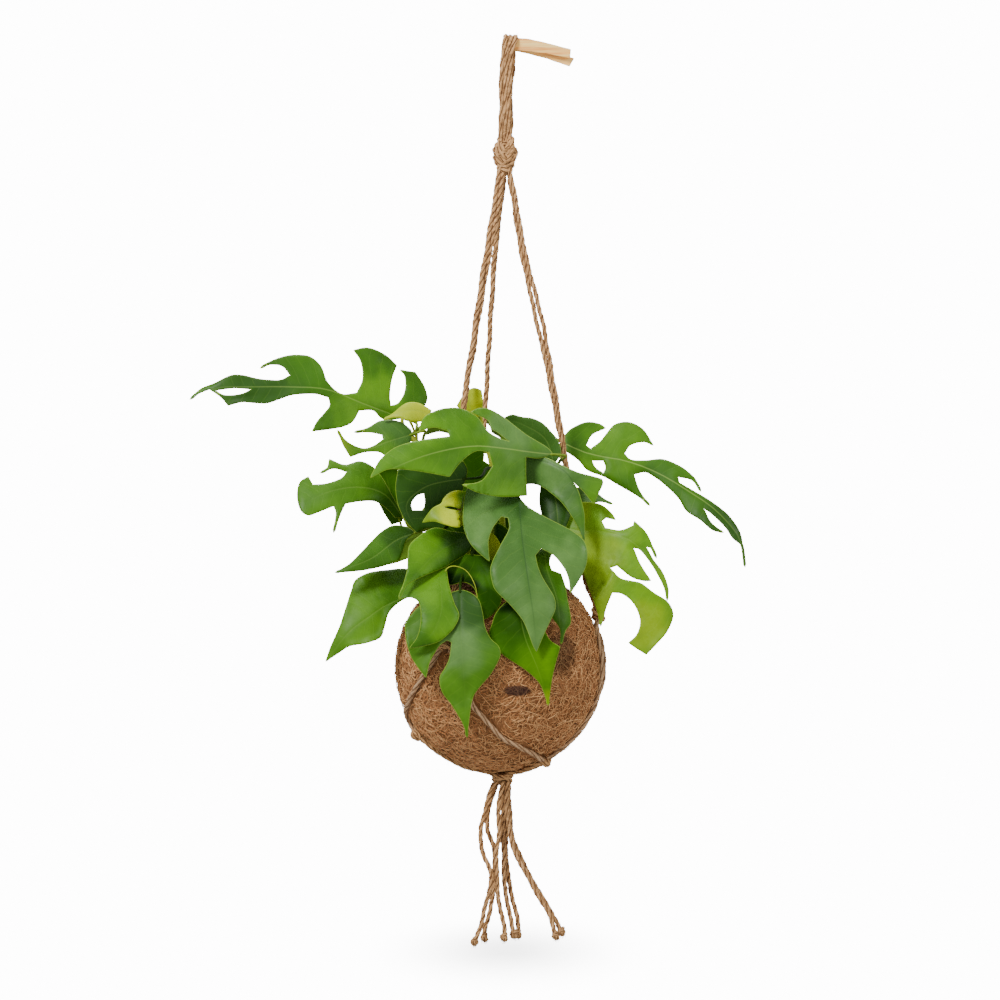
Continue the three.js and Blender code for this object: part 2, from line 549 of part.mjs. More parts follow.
    outline: `-3,-326! 4,-323 13,-325 21,-326 30,-330 38,-338 44,-346 46,-356 42,-363 33,-363 20,-353
      7,-340`,
    rib: '40,-364 33,-344 15,-332 -3,-326',
    base: -24, tip: -32, arch: 0, tilt: 0.3, fold: 0.15,
  },
};

// Every leaf: its shape, its colour and the stem that it grows from, with the height on
// that stem as a share of its length. The plant is as full behind as in front: there the
// same kinds of leaf are turned round the upright through the middle of the ball.
const LEAVES = [
  { name: 'leaf_01', shape: 'upper_left', colour: LEAF_GREEN, stem: 'stem_left', at: 0.93, clear: 0.2 },
  { name: 'leaf_02', shape: 'upper_right', colour: LEAF_GREEN, stem: 'stem_right', at: 0.97 },
  { name: 'leaf_03', shape: 'top_front', colour: LEAF_GREEN, stem: 'stem_right', at: 0.9 },
  { name: 'leaf_04', shape: 'right_front', colour: LEAF_GREY, stem: 'stem_middle', at: 0.7 },
  { name: 'leaf_05', shape: 'centre', colour: LEAF_GREY, stem: 'stem_middle', at: 0.62 },
  { name: 'leaf_06', shape: 'over_ball', colour: LEAF_GREEN, stem: 'stem_front', at: 0.9,
    via: [[-23, -54, -434], [-30, -74, -447], [-38, -86, -460]] },
  { name: 'leaf_07', shape: 'left_hook', colour: LEAF_GREEN, stem: 'stem_left', at: 0.35 },
  { name: 'leaf_08', shape: 'curled', colour: LEAF_GREEN, stem: 'stem_front', at: 0.75,
    via: [[-18, -42, -434], [-27, -55, -438]] },
  { name: 'leaf_09', shape: 'low_left', colour: LEAF_BRIGHT, stem: 'stem_left', at: 0.3,
    via: [[-44, -15, -450], [-66, -33, -465]] },
  { name: 'leaf_10', shape: 'front_left', colour: LEAF_GREEN, stem: 'stem_front', at: 0.97, clear: 0.3 },
  { name: 'leaf_11', shape: 'mid_left', colour: LEAF_GREEN, stem: 'stem_left', at: 0.5 },
  { name: 'leaf_12', shape: 'left_lobed', colour: LEAF_GREEN, stem: 'stem_left', at: 0.62 },
  { name: 'leaf_13', shape: 'upper_twist', colour: LEAF_GREEN, stem: 'stem_left', at: 0.86 },
  { name: 'leaf_14', shape: 'young_left', colour: LEAF_YOUNG, stem: 'stem_left', at: 0.98 },
  { name: 'leaf_15', shape: 'young_top', colour: LEAF_YOUNG, stem: 'stem_middle', at: 0.98 },
  { name: 'leaf_16', shape: 'young_front', colour: LEAF_YOUNG, stem: 'stem_middle', at: 0.66, clear: 1.5,
    via: [[-12, -13, -392], [-24.5, -32, -396]] },
  { name: 'leaf_17', shape: 'shade_left', colour: LEAF_GREY, stem: 'stem_middle', at: 0.78 },
  { name: 'leaf_18', shape: 'right_bright', colour: LEAF_BRIGHT, stem: 'stem_right', at: 0.55 },
  { name: 'leaf_19', shape: 'under_centre', colour: LEAF_GREEN, stem: 'stem_front', at: 0.42 },
  { name: 'leaf_20', shape: 'small_right', colour: LEAF_GREEN, stem: 'stem_right', at: 0.4 },
  { name: 'leaf_21', shape: 'shade_right', colour: LEAF_GREY, stem: 'stem_right', at: 0.8 },
  { name: 'leaf_22', shape: 'behind_top', colour: LEAF_GREY, stem: 'stem_right', at: 0.95 },
  { name: 'leaf_23', shape: 'over_ball', colour: LEAF_GREEN, stem: 'stem_back', at: 0.45,
    turn: 180, move: [8, 0, 0], via: [[10, 54, -434], [16, 74, -447], [18, 86, -460]] },
  { name: 'leaf_24', shape: 'front_left', colour: LEAF_GREY, stem: 'stem_back', at: 0.8, clear: 0.3,
    turn: 180, mirror: true },
  { name: 'leaf_25', shape: 'under_centre', colour: LEAF_BRIGHT, stem: 'stem_back', at: 0.6,
    turn: 180, move: [8, -16, 0] },
  { name: 'leaf_26', shape: 'top_front', colour: LEAF_GREEN, stem: 'stem_right', at: 0.85,
    turn: 180, mirror: true, move: [0, 0, -26], size: 0.93 },
  { name: 'leaf_27', shape: 'mid_left', colour: LEAF_GREEN, stem: 'stem_left', at: 0.45,
    turn: 180, mirror: true, move: [0, 0, -43], size: 0.9 },
  { name: 'leaf_28', shape: 'young_left', colour: LEAF_GREY, stem: 'stem_right', at: 0.7,
    mirror: true, move: [-2, 32, -72.5] },
  { name: 'leaf_29', shape: 'shade_middle', colour: LEAF_GREY, stem: 'stem_middle', at: 0.26, clear: 0.3,
    via: [[-7.5, 9.5, -449]] },
];

// "x,z" pairs as 2-D points, with the sharp ones flagged.
function readPoints(text) {
  return text.trim().split(/\s+/).map((word) => {
    const [x, z] = word.replace('!', '').split(',').map(Number);
    return { at: new THREE.Vector2(x, z), sharp: word.endsWith('!') };
  });
}

// A closed outline: straight runs between neighbours, rounded on long smooth stretches.
const LONGEST_EDGE = 17;

function closedOutline(text) {
  const points = readPoints(text);
  const outline = [];
  points.forEach((point, i) => {
    const next = points[(i + 1) % points.length];
    outline.push(point.at);
    const length = point.at.distanceTo(next.at);
    const before = point.sharp ? point.at : points[(i + points.length - 1) % points.length].at;
    const after = next.sharp ? next.at : points[(i + 2) % points.length].at;
    const extra = Math.floor(length / LONGEST_EDGE);
    for (let k = 1; k <= extra; k++) {
      outline.push(hermite(before, point.at, next.at, after, k / (extra + 1)));
    }
  });
  return outline;
}

function hermite(before, from, to, after, t) {
  const length = from.distanceTo(to);
  const leave = to.clone().sub(before).setLength(length);
  const arrive = after.clone().sub(from).setLength(length);
  const t2 = t * t;
  const t3 = t2 * t;
  return from.clone().multiplyScalar(2 * t3 - 3 * t2 + 1)
    .addScaledVector(leave, t3 - 2 * t2 + t)
    .addScaledVector(to, -2 * t3 + 3 * t2)
    .addScaledVector(arrive, t3 - t2);
}

// The rib as a fine polyline, and where a point lies along it and beside it.
function ribLine(text) {
  const points = readPoints(text).map(({ at }) => new THREE.Vector3(at.x, at.y, 0));
  return new THREE.CatmullRomCurve3(points, false, 'centripetal').getSpacedPoints(20);
}

function beside(rib, x, z) {
  let best = { distance: Infinity };
  const last = rib.length - 2;
  for (let i = 0; i <= last; i++) {
    const dx = rib[i + 1].x - rib[i].x;
    const dz = rib[i + 1].y - rib[i].y;
    const length = Math.hypot(dx, dz);
    let t = ((x - rib[i].x) * dx + (z - rib[i].y) * dz) / length ** 2;
    t = Math.min(Math.max(t, i === 0 ? -3 : 0), i === last ? 4 : 1);
    const away = Math.hypot(x - rib[i].x - t * dx, z - rib[i].y - t * dz);
    if (away < best.distance) {
      const side = Math.sign(dx * (z - rib[i].y) - dz * (x - rib[i].x));
      best = { distance: away, along: (i + t) / (last + 1), across: side * away };
    }
  }
  return best;
}

const RIB_SOFTNESS = 6;

function depthOf(shape, rib, x, z) {
  const { along, across } = beside(rib, x, z);
  const bulge = 4 * shape.arch * along * (1 - along);
  const lift = Math.hypot(across, RIB_SOFTNESS) - RIB_SOFTNESS;
  return shape.base + (shape.tip - shape.base) * along + bulge + shape.tilt * across + shape.fold * lift;
}

// Splits every triangle edge that is longer than the limit, at its middle.
function refine(points, triangles, limit) {
  let work = triangles;
  for (let round = 0; round < 4; round++) {
    const middles = new Map();
    const middle = (a, b) => {
      const key = a < b ? `${a}_${b}` : `${b}_${a}`;
      if (middles.has(key)) return middles.get(key);
      const long = points[a].distanceTo(points[b]) > limit;
      const index = long ? points.push(points[a].clone().lerp(points[b], 0.5)) - 1 : -1;
      middles.set(key, index);
      return index;
    };
    const next = [];
    for (const [a, b, c] of work) {
      const ab = middle(a, b);
      const bc = middle(b, c);
      const ca = middle(c, a);
      next.push(...split([a, b, c], [ab, bc, ca]));
    }
    work = next;
  }
  return work;
}

function split([a, b, c], [ab, bc, ca]) {
  const count = [ab, bc, ca].filter((m) => m >= 0).length;
  if (count === 0) return [[a, b, c]];
  if (count === 3) return [[a, ab, ca], [ab, b, bc], [ca, bc, c], [ab, bc, ca]];
  if (count === 1) {
    if (ab >= 0) return [[a, ab, c], [ab, b, c]];
    if (bc >= 0) return [[b, bc, a], [bc, c, a]];
    return [[c, ca, b], [ca, a, b]];
  }
  if (ab < 0) return [[c, ca, bc], [ca, a, b], [ca, b, bc]];
  if (bc < 0) return [[a, ab, ca], [ab, b, c], [ab, c, ca]];
  return [[b, bc, ab], [bc, c, a], [bc, a, ab]];
}

const INSIDE_EDGE = 34;                           // unless a shape gives its own

// A blade: front and back faces split alike, half a thickness either side, and a rim.
function blade(shape) {
  const rib = ribLine(shape.rib);
  const outline = closedOutline(shape.outline);
  const holes = shape.window ? [closedOutline(shape.window)] : [];
  if (THREE.ShapeUtils.isClockWise(outline)) outline.reverse();
  holes.forEach((hole) => {
    if (!THREE.ShapeUtils.isClockWise(hole)) hole.reverse();
  });
  const loops = [outline, ...holes];
  const points = loops.flat().map((p) => p.clone());
  const faces = refine(points, THREE.ShapeUtils.triangulateShape(outline, holes),
    shape.inside ?? INSIDE_EDGE);
  const count = points.length;
  const positions = [];
  for (const side of [-1, 1]) {
    for (const p of points) {
      positions.push(p.x, depthOf(shape, rib, p.x, p.y) + (side * BLADE) / 2, p.y);
    }
  }
  const index = [];
  const edges = new Map();
  for (const [a, b, c] of faces) {
    index.push(a, b, c, a + count, c + count, b + count);
    for (const [from, to] of [[a, b], [b, c], [c, a]]) {
      if (edges.has(`${to}_${from}`)) edges.delete(`${to}_${from}`);
      else edges.set(`${from}_${to}`, [from, to]);
    }
  }
  for (const [from, to] of edges.values()) {
    index.push(from, from + count, to + count, from, to + count, to);
  }
  const geometry = new THREE.BufferGeometry();
  geometry.setAttribute('position', new THREE.Float32BufferAttribute(positions, 3));
  geometry.setIndex(index);
  return geometry;
}

// Where a leaf sits: turned round the upright through the ball, moved and scaled.
function placement(leaf) {
  const { turn = 0, move = [0, 0, 0], mirror = false, size = 1 } = leaf;
  const matrix = new THREE.Matrix4().makeTranslation(BALL.x, 0, 0);
  matrix.multiply(new THREE.Matrix4().makeRotationZ(THREE.MathUtils.degToRad(turn)));
  matrix.multiply(new THREE.Matrix4().makeTranslation(...move));
  matrix.multiply(new THREE.Matrix4().makeScale(mirror ? -size : size, size, size));
  matrix.multiply(new THREE.Matrix4().makeTranslation(-BALL.x, 0, 0));
  return matrix;
}

const leafStalks = new Map(Object.keys(STEMS).map((name) => [name, []]));
const STALK_REACH = 11;
const STALK_RISE = 4;
const STALK_GAP = 0.75;

// How far the blade reaches back past the start of its rib, in the width of the stalk.
function overhang(shape, rib) {
  const ahead = new THREE.Vector2(rib[2].x - rib[0].x, rib[2].y - rib[0].y).normalize();
  const outline = closedOutline(shape.outline);
  let back = -3;
  outline.forEach((p, i) => {
    const q = outline[(i + 1) % outline.length];
    for (let t = 0; t <= 1; t += 0.05) {
      const from = new THREE.Vector2(p.x + (q.x - p.x) * t - rib[0].x, p.y + (q.y - p.y) * t - rib[0].y);
      if (Math.abs(from.cross(ahead)) < PETIOLE && from.length() < 4 * STALK_REACH / 5) {
        back = Math.max(back, -from.dot(ahead));
      }
    }
  });
  return back;
}

for (const leaf of LEAVES) {
  const shape = SHAPES[leaf.shape];
  const matrix = placement(leaf);
  const geometry = blade(shape);
  geometry.applyMatrix4(matrix);
  if (leaf.mirror) {
    const index = geometry.index.array;
    for (let i = 0; i < index.length; i += 3) {
      [index[i + 1], index[i + 2]] = [index[i + 2], index[i + 1]];
    }
  }
  piece(leaf.name, geometry, leaf.colour);

  const rib = ribLine(shape.rib);
  const place = (p) => new THREE.Vector3(p.x, depthOf(shape, rib, p.x, p.y), p.y).applyMatrix4(matrix);
  const foot = place(rib[0]);
  const heading = place(rib[2]).sub(foot).normalize();
  const end = foot.clone().addScaledVector(heading, -STALK_GAP - (leaf.clear ?? 0) - overhang(shape, rib));
  const start = smoothCurve(STEMS[leaf.stem]).getPointAt(leaf.at);
  const bend = end.clone().addScaledVector(heading, -STALK_REACH);
  const rise = start.clone().lerp(bend, 0.5).add(new THREE.Vector3(0, 0, STALK_RISE));
  const middle = leaf.via ? leaf.via.map(vector) : [rise, bend];
  const path = new THREE.CatmullRomCurve3([start, ...middle, end], false, 'centripetal');
  leafStalks.get(leaf.stem).push(bar(path, PETIOLE, 5, leaf.via ? 5 : 4));
}

for (const [name, route] of Object.entries(STEMS)) {
  piece(name, join([bar(smoothCurve(route), STEM_RADIUS, 7, 7), ...leafStalks.get(name)]), STALK);
}

export default part;
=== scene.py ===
# %% [markdown]
# # A hanging coir ball plant
#
# This lesson dresses a plant that climbs in the wild and hangs here: split leaves on a ball of
# coconut fibre, in a knotted jute hanger over a short wooden peg. The solid model is loaded as
# a fixed frame. A piece made below stands where its solid stands, with a new surface and fine
# detail. A few thin ones have no solid, and their cells say so.

# %% Load the frame
import math

import bpy
import numpy as np
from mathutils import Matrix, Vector
from mathutils.geometry import delaunay_2d_cdt


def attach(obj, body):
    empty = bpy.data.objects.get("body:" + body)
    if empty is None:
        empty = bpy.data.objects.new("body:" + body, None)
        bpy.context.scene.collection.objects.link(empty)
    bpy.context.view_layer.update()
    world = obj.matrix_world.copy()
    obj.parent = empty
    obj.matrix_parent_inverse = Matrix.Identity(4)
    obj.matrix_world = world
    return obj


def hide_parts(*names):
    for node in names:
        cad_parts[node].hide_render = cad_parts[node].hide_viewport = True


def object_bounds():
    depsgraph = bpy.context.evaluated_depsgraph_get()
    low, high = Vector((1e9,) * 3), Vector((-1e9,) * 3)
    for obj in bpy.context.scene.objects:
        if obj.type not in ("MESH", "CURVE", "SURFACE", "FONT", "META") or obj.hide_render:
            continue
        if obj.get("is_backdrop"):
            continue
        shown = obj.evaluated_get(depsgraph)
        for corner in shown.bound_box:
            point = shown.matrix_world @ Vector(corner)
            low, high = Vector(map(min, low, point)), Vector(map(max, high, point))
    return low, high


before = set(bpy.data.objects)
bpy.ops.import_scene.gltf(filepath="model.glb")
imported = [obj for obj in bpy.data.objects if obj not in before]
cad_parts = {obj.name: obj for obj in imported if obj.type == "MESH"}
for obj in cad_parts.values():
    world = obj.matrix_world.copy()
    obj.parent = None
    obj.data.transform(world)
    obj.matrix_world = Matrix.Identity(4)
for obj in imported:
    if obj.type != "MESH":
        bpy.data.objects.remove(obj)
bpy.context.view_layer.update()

MM = 0.001
rng = np.random.default_rng(27)
print("nodes in the frame:", len(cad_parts))

# %% [markdown]
# ## The camera
#
# A product photo of a tall thing is taken from far away with a long lens, because a near camera
# would make the front leaves too large. A far camera at the height of the picture's middle gives
# that look. The lens follows from the distance and from how wide the picture is at the plant.

# %% Camera
VIEW_MIDDLE = (-0.006, -0.396)          # x and z at the middle of the picture
VIEW_WIDTH = 0.860                      # what the picture spans at the plant
CAMERA_AWAY = 9.0
CAMERA_REACH = 100
SENSOR = 36.0

lens = bpy.data.cameras.new("camera")
lens.sensor_width = SENSOR
lens.lens = SENSOR * CAMERA_AWAY / VIEW_WIDTH
lens.clip_end = CAMERA_REACH
camera = bpy.data.objects.new("camera", lens)
camera.location = (VIEW_MIDDLE[0], -CAMERA_AWAY, VIEW_MIDDLE[1])
camera.rotation_euler = (math.pi / 2, 0, 0)
bpy.context.scene.collection.objects.link(camera)
bpy.context.scene.camera = camera
print("lens", round(lens.lens), "mm")

# %% [markdown]
# ## Lines in space
#
# Cords, stems and leaf ribs all follow smooth lines through a few points. The points are written
# as a maker would measure them, in millimetres, and are read into metres. A centripetal spline
# never overshoots between uneven points, so it suits points given one by one. Points at even
# distances along it make the rings of a tube all alike.

# %% Smooth lines
def read_points(text):
    """Points written in millimetres, in metres."""
    return np.array([[float(n) for n in word.split(",")] for word in text.split()]) * MM


def spaced(line, step=None, count=None):
    """The same line with its points at even distances."""
    lengths = np.linalg.norm(np.diff(line, axis=0), axis=1)
    reach = np.concatenate([[0], np.cumsum(lengths)])
    count = count or max(2, round(reach[-1] / step))
    spots = np.linspace(0, reach[-1], count + 1)
    return np.stack([np.interp(spots, reach, axis) for axis in line.T], axis=1)


def smooth(route, step=None, count=None, samples=14):
    """A spline through the points of a route."""
    route = np.asarray(route, float)
    padded = np.vstack([2 * route[0] - route[1], route, 2 * route[-1] - route[-2]])
    line = []
    for p0, p1, p2, p3 in zip(padded, padded[1:], padded[2:], padded[3:]):
        gaps = [max(np.linalg.norm(b - a) ** 0.5, 1e-5) for a, b in ((p0, p1), (p1, p2), (p2, p3))]
        leave = (p1 - p0) / gaps[0] - (p2 - p0) / (gaps[0] + gaps[1]) + (p2 - p1) / gaps[1]
        arrive = (p2 - p1) / gaps[1] - (p3 - p1) / (gaps[1] + gaps[2]) + (p3 - p2) / gaps[2]
        for t in np.arange(samples) / samples:
            cubic = (2 * t**3 - 3 * t**2 + 1) * p1 + (t**3 - 2 * t**2 + t) * leave * gaps[1]
            line.append(cubic + (3 * t**2 - 2 * t**3) * p2 + (t**3 - t**2) * arrive * gaps[1])
    line.append(route[-1])
    return spaced(np.array(line), step, count)


def unit(vectors):
    return vectors / np.maximum(np.linalg.norm(vectors, axis=-1, keepdims=True), 1e-12)


def cross_directions(line):
    """The way ahead at each point, and two ways across that are carried along without twist."""
    ahead = unit(np.gradient(line, axis=0))
    side = np.empty_like(line)
    start = np.eye(3)[np.argmin(abs(ahead[0]))]
    for i, forward in enumerate(ahead):
        start = start - forward * start.dot(forward)
        start /= np.linalg.norm(start)
        side[i] = start
    return ahead, side, np.cross(ahead, side)


bow = smooth([(0, 0, 0), (1, 1, 0), (2, 0, 0)], count=8)
print("a bow through 3 points now has", len(bow))


# %% [markdown]
# ## A pile of small solids
#
# A rope, a leaf or a mat of fibres is thousands of small closed shapes that ride together. Adding
# them one by one as objects would be slow, so a pile collects their points and faces, and makes
# one mesh at the end. Marks are numbers kept at each point, such as how far along a cord it lies,
# and the materials read them.

# %% Piles
class Pile:
    """Closed shapes that become one mesh."""

    def __init__(self):
        self.points, self.faces, self.marks, self.count = [], [], {}, 0

    def add(self, points, faces, **marks):
        self.points.append(np.asarray(points, float))
        self.faces += [np.asarray(some) + self.count for some in faces]
        for name, values in marks.items():
            values = np.broadcast_to(np.asarray(values, float), (len(points),))
            self.marks.setdefault(name, []).append(values)
        self.count += len(points)

    def piece(self, name, finish, slot, *nodes, paint=None):
        mesh = bpy.data.meshes.new(name)
        mesh.vertices.add(self.count)
        mesh.vertices.foreach_set("co", np.concatenate(self.points).ravel())
        corners = np.concatenate([some.ravel() for some in self.faces])
        sizes = np.concatenate([np.full(len(some), some.shape[1]) for some in self.faces])
        mesh.loops.add(len(corners))
        mesh.loops.foreach_set("vertex_index", corners.astype(np.int32))
        mesh.polygons.add(len(sizes))
        mesh.polygons.foreach_set("loop_start", (np.cumsum(sizes) - sizes).astype(np.int32))
        mesh.update(calc_edges=True)
        mesh.shade_smooth()
        for mark, values in self.marks.items():
            layer = mesh.attributes.new(mark, "FLOAT", "POINT")
            layer.data.foreach_set("value", np.concatenate(values).astype(np.float32))
        if paint is not None:
            layer = mesh.attributes.new("paint", "FLOAT_COLOR", "POINT")
            layer.data.foreach_set("color", paint.astype(np.float32).ravel())
        mesh.materials.append(finish)
        return dress(bpy.data.objects.new(name, mesh), slot, *nodes)


# %% Dressing the frame with a piece
def dress(piece, slot, *nodes):
    """Puts a piece in the scene under the root, and hides the nodes it stands for. The slot is not used."""
    if piece.name not in bpy.context.scene.collection.objects:
        bpy.context.scene.collection.objects.link(piece)
    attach(piece, "root")
    if nodes:
        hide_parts(*nodes)
    return piece


def ring_faces(rings, sides):
    """The walls between rings of points, and a lid at each end."""
    corner = np.arange(sides)
    turn = (corner + 1) % sides
    rows = np.arange(rings - 1)[:, None] * sides
    walls = np.stack([rows + corner, rows + turn, rows + sides + turn, rows + sides + corner], -1)
    last = (rings - 1) * sides
    return [walls.reshape(-1, 4), corner[::-1][None], (last + corner)[None]]


# %% Tubes
def add_tube(pile, line, radii, sides=3, **marks):
    """A plain tube with its own radius at each ring."""
    _, side, up = cross_directions(line)
    angles = np.arange(sides) * 2 * math.pi / sides
    radii = np.broadcast_to(radii, (len(line),))[:, None, None]
    rim = side[:, None] * np.cos(angles)[:, None] + up[:, None] * np.sin(angles)[:, None]
    points = line[:, None] + radii * rim
    marks = {name: np.repeat(np.broadcast_to(mark, (len(line),)), sides) for name, mark in marks.items()}
    pile.add(points.reshape(-1, 3), ring_faces(len(line), sides), **marks)


# %% [markdown]
# ## Materials as sums
#
# A material is a small calculation at each point of a surface. Written with nodes it is a drawing
# that is hard to read, so a wire here is a socket that can be added and multiplied like a number.
# Every sum adds its Math node. All other nodes come from one method.

# %% Colours
def colour(red, green, blue):
    """A colour as a painter picks it, from 0 to 255, as light."""
    parts = [c / 255 for c in (red, green, blue)]
    return tuple(c / 12.92 if c <= 0.04045 else ((c + 0.055) / 1.055) ** 2.4 for c in parts) + (1.0,)


# %% Wires
class Wire:
    """A socket that adds and multiplies like a number."""

    def __init__(self, nodes, socket):
        self.nodes, self.socket = nodes, socket

    def sum(self, operation, *values):
        return self.nodes.node("ShaderNodeMath", {"operation": operation}, values)

    def __add__(self, other):
        return self.sum("ADD", self, other)

    def __radd__(self, other):
        return self.sum("ADD", other, self)

    def __sub__(self, other):
        return self.sum("SUBTRACT", self, other)

    def __rsub__(self, other):
        return self.sum("SUBTRACT", other, self)

    def __mul__(self, other):
        return self.sum("MULTIPLY", self, other)

    def __rmul__(self, other):
        return self.sum("MULTIPLY", other, self)

    def __truediv__(self, other):
        return self.sum("DIVIDE", self, other)

    def __pow__(self, other):
        return self.sum("POWER", self, other)

    def size(self):
        return self.sum("ABSOLUTE", self)

    def fraction(self):
        return self.sum("FRACT", self)

    def between(self, low, high):
        """0 at low and 1 at high, with a soft start and stop. Low may be the larger one."""
        return self.nodes.node("ShaderNodeMapRange", {"interpolation_type": "SMOOTHSTEP"},
                               {"Value": self, "From Min": low, "From Max": high})


# %% Nodes
class Nodes:
    """The nodes of a material or of the world."""

    def __init__(self, owner):
        owner.use_nodes = True
        self.owner, self.tree = owner, owner.node_tree

    def feed(self, made, socket, value):
        if isinstance(value, Wire):
            self.tree.links.new(value.socket, made.inputs[socket])
        else:
            made.inputs[socket].default_value = value

    def node(self, kind, settings, sockets, output=0):
        """Any node: its settings first, then the values or wires of its sockets."""
        made = self.tree.nodes.new(kind)
        for name, value in settings.items():
            setattr(made, name, value)
        for socket, value in sockets.items() if isinstance(sockets, dict) else enumerate(sockets):
            self.feed(made, socket, value)
        return Wire(self, made.outputs[output])


# %% Finishes
class Finish(Nodes):
    """A material. The blanks in a socket's name are written as underscores."""

    def __init__(self, name, **values):
        super().__init__(bpy.data.materials.new(name))
        self.shader = self.tree.nodes["Principled BSDF"]
        self.set(**values)

    def set(self, **values):
        for socket, value in values.items():
            self.feed(self.shader, socket.replace("_", " "), value)
        return self.owner

    def mark(self, name, output="Fac"):
        return self.node("ShaderNodeAttribute", {"attribute_name": name}, {}, output)

    def place(self):
        return self.node("ShaderNodeTexCoord", {}, {}, "Object")

    def joined(self, x, y, z):
        return self.node("ShaderNodeCombineXYZ", {}, [x, y, z])

    def axes(self, where):
        x = self.node("ShaderNodeSeparateXYZ", {}, [where])
        return [Wire(self, socket) for socket in x.socket.node.outputs]

    def stretched(self, scale, rotation=(0, 0, 0)):
        return self.node("ShaderNodeMapping", {}, {
            "Vector": self.place(), "Rotation": rotation, "Scale": scale})

    def noise(self, where, scale, detail=3.0, roughness=0.55):
        return self.node("ShaderNodeTexNoise", {},
                         {"Vector": where, "Scale": scale, "Detail": detail, "Roughness": roughness})

    def mix(self, share, first, second, how="MIX"):
        return self.node("ShaderNodeMix", {"data_type": "RGBA", "blend_type": how},
                         {0: share, 6: first, 7: second}, 2)

    def bump(self, height, distance, strength=1.0):
        return self.node("ShaderNodeBump", {},
                         {"Height": height, "Distance": distance, "Strength": strength})


# %% [markdown]
# ## Jute
#
# Jute is a stiff plant fibre, spun into yarn and laid up into cord. It has no gloss. What the eye
# reads as jute is the deep dark groove between the yarns, streaks along them, and pale stray
# fibres. The grooves are real geometry here, and their dark colour is painted shade, as are a few
# small dark spots on the yarns. The streaks are noise that is stretched along the yarn, from marks
# that say how far along and how far round a point lies.

# %% Jute finish
def jute_finish(name, low, high, worn, groove):
    jute = Finish(name, Roughness=0.9, Specular_IOR_Level=0.25)
    along, around, crest, tone = (jute.mark(name) for name in ("along", "around", "crest", "tone"))
    streaks = jute.noise(jute.joined(around * 42, along * 0.16, tone * 30), 1.0, 4.0, 0.65)
    patches = jute.noise(jute.joined(tone * 9, along * 0.05, tone), 1.0, 2.0)
    fibre = jute.mix(streaks.between(0.28, 0.72), colour(*low), colour(*high))
    aged = jute.mix(patches.between(0.35, 0.7) * 0.5, fibre, colour(*worn))
    shade_spots = jute.noise(jute.joined(around * 3, along * 0.3, tone * 50), 1.0, 2.0)
    # Painted shade: the yarns take the dark groove colour towards the grooves between them, and in small
    # random spots.
    shown = crest.between(-0.05, 0.75) + shade_spots.between(0.5, 0.62) * -0.45
    ground = jute.mix(shown, colour(*groove), aged)
    return jute.set(Base_Color=ground, Normal=jute.bump(streaks, 0.0007, 0.8))


JUTE = jute_finish("jute", (146, 98, 56), (240, 192, 134), (186, 136, 84), (84, 48, 22))
NET_JUTE = jute_finish("net_jute", (156, 118, 82), (222, 184, 142), (180, 142, 104), (112, 78, 50))
print("nodes in the jute:", len(JUTE.node_tree.nodes))

# %% [markdown]
# ## Laying up a cord
#
# Three yarns lie side by side and turn round each other. Seen from its end the cord is three
# touching circles. Modelling only the outside of those circles, and turning that outline as it
# moves along the line, gives true yarns with true grooves in one closed skin. Stray fibres are
# thin curved hairs that leave the skin at a low angle.

# %% Cord
CORD = 3.8 * MM
YARNS = 3
YARN_SIDES = 6
YARN_RADIUS = 1.3 * MM
YARN_OFFSET = 0.72 * MM
LAY = 26 * MM                            # length of one full turn of the yarns
LOOSE_LAY, TASSEL_LAY, END_LAY = 46 * MM, 28 * MM, 9 * MM
FULL, TIGHT = 1.1, 0.86                  # a cord that hangs free, and one pulled into a small knot
RING_STEP = 1.2 * MM


def add_cord(pile, line, tone, thick=1.0, lay=LAY, wander=0.3 * MM):
    """A cord along a line. It swells and thins a little, and wanders from side to side."""
    line = spaced(line, RING_STEP)
    _, side, up = cross_directions(line)
    local = np.radians(np.linspace(-60, 60, YARN_SIDES, endpoint=False))
    radius = YARN_OFFSET * np.cos(local) + np.sqrt(YARN_RADIUS**2 - (YARN_OFFSET * np.sin(local)) ** 2)
    radius = np.tile(radius, YARNS) * thick
    angle = (local + 2 * np.pi / YARNS * np.arange(YARNS)[:, None]).ravel()
    along = np.arange(len(line)) * np.linalg.norm(line[1] - line[0])
    turned = angle + 2 * np.pi * along[:, None] / lay + tone * 20
    yarn = np.repeat(np.arange(YARNS), YARN_SIDES) * 2.1 + tone * 40
    at = along[:, None]
    swell = 1 + 0.08 * np.sin(at * 420 + yarn) + 0.055 * np.sin(at * 1130 + 3 * yarn)
    swell += 0.02 * np.sin(at * 2900 + 9 * angle)
    drift = np.sin(at * 150 + tone * 30) * side + np.sin(at * 210 + tone * 70) * up
    line = line + drift * wander
    rim = side[:, None] * np.cos(turned)[..., None] + up[:, None] * np.sin(turned)[..., None]
    points = line[:, None] + (radius * swell)[..., None] * rim
    sides = len(angle)
    crest = (radius - radius.min()) / (radius.max() - radius.min())
    pile.add(points.reshape(-1, 3), ring_faces(len(line), sides),
             along=np.repeat(along / MM, sides), around=np.tile(np.arange(sides) / sides, len(line)),
             crest=np.tile(crest, len(line)), tone=tone)


# %% Stray fibres
HAIR_ROOT = 0.46 * CORD                  # how far from the cord's middle a stray fibre starts


def add_hair(pile, line, thick, thin, reach):
    """One stray fibre, thinner towards its tip."""
    add_tube(pile, line, np.linspace(thick, thin, len(line)) * MM,
             along=rng.uniform(0, reach), around=rng.random(), crest=0.9, tone=rng.random())


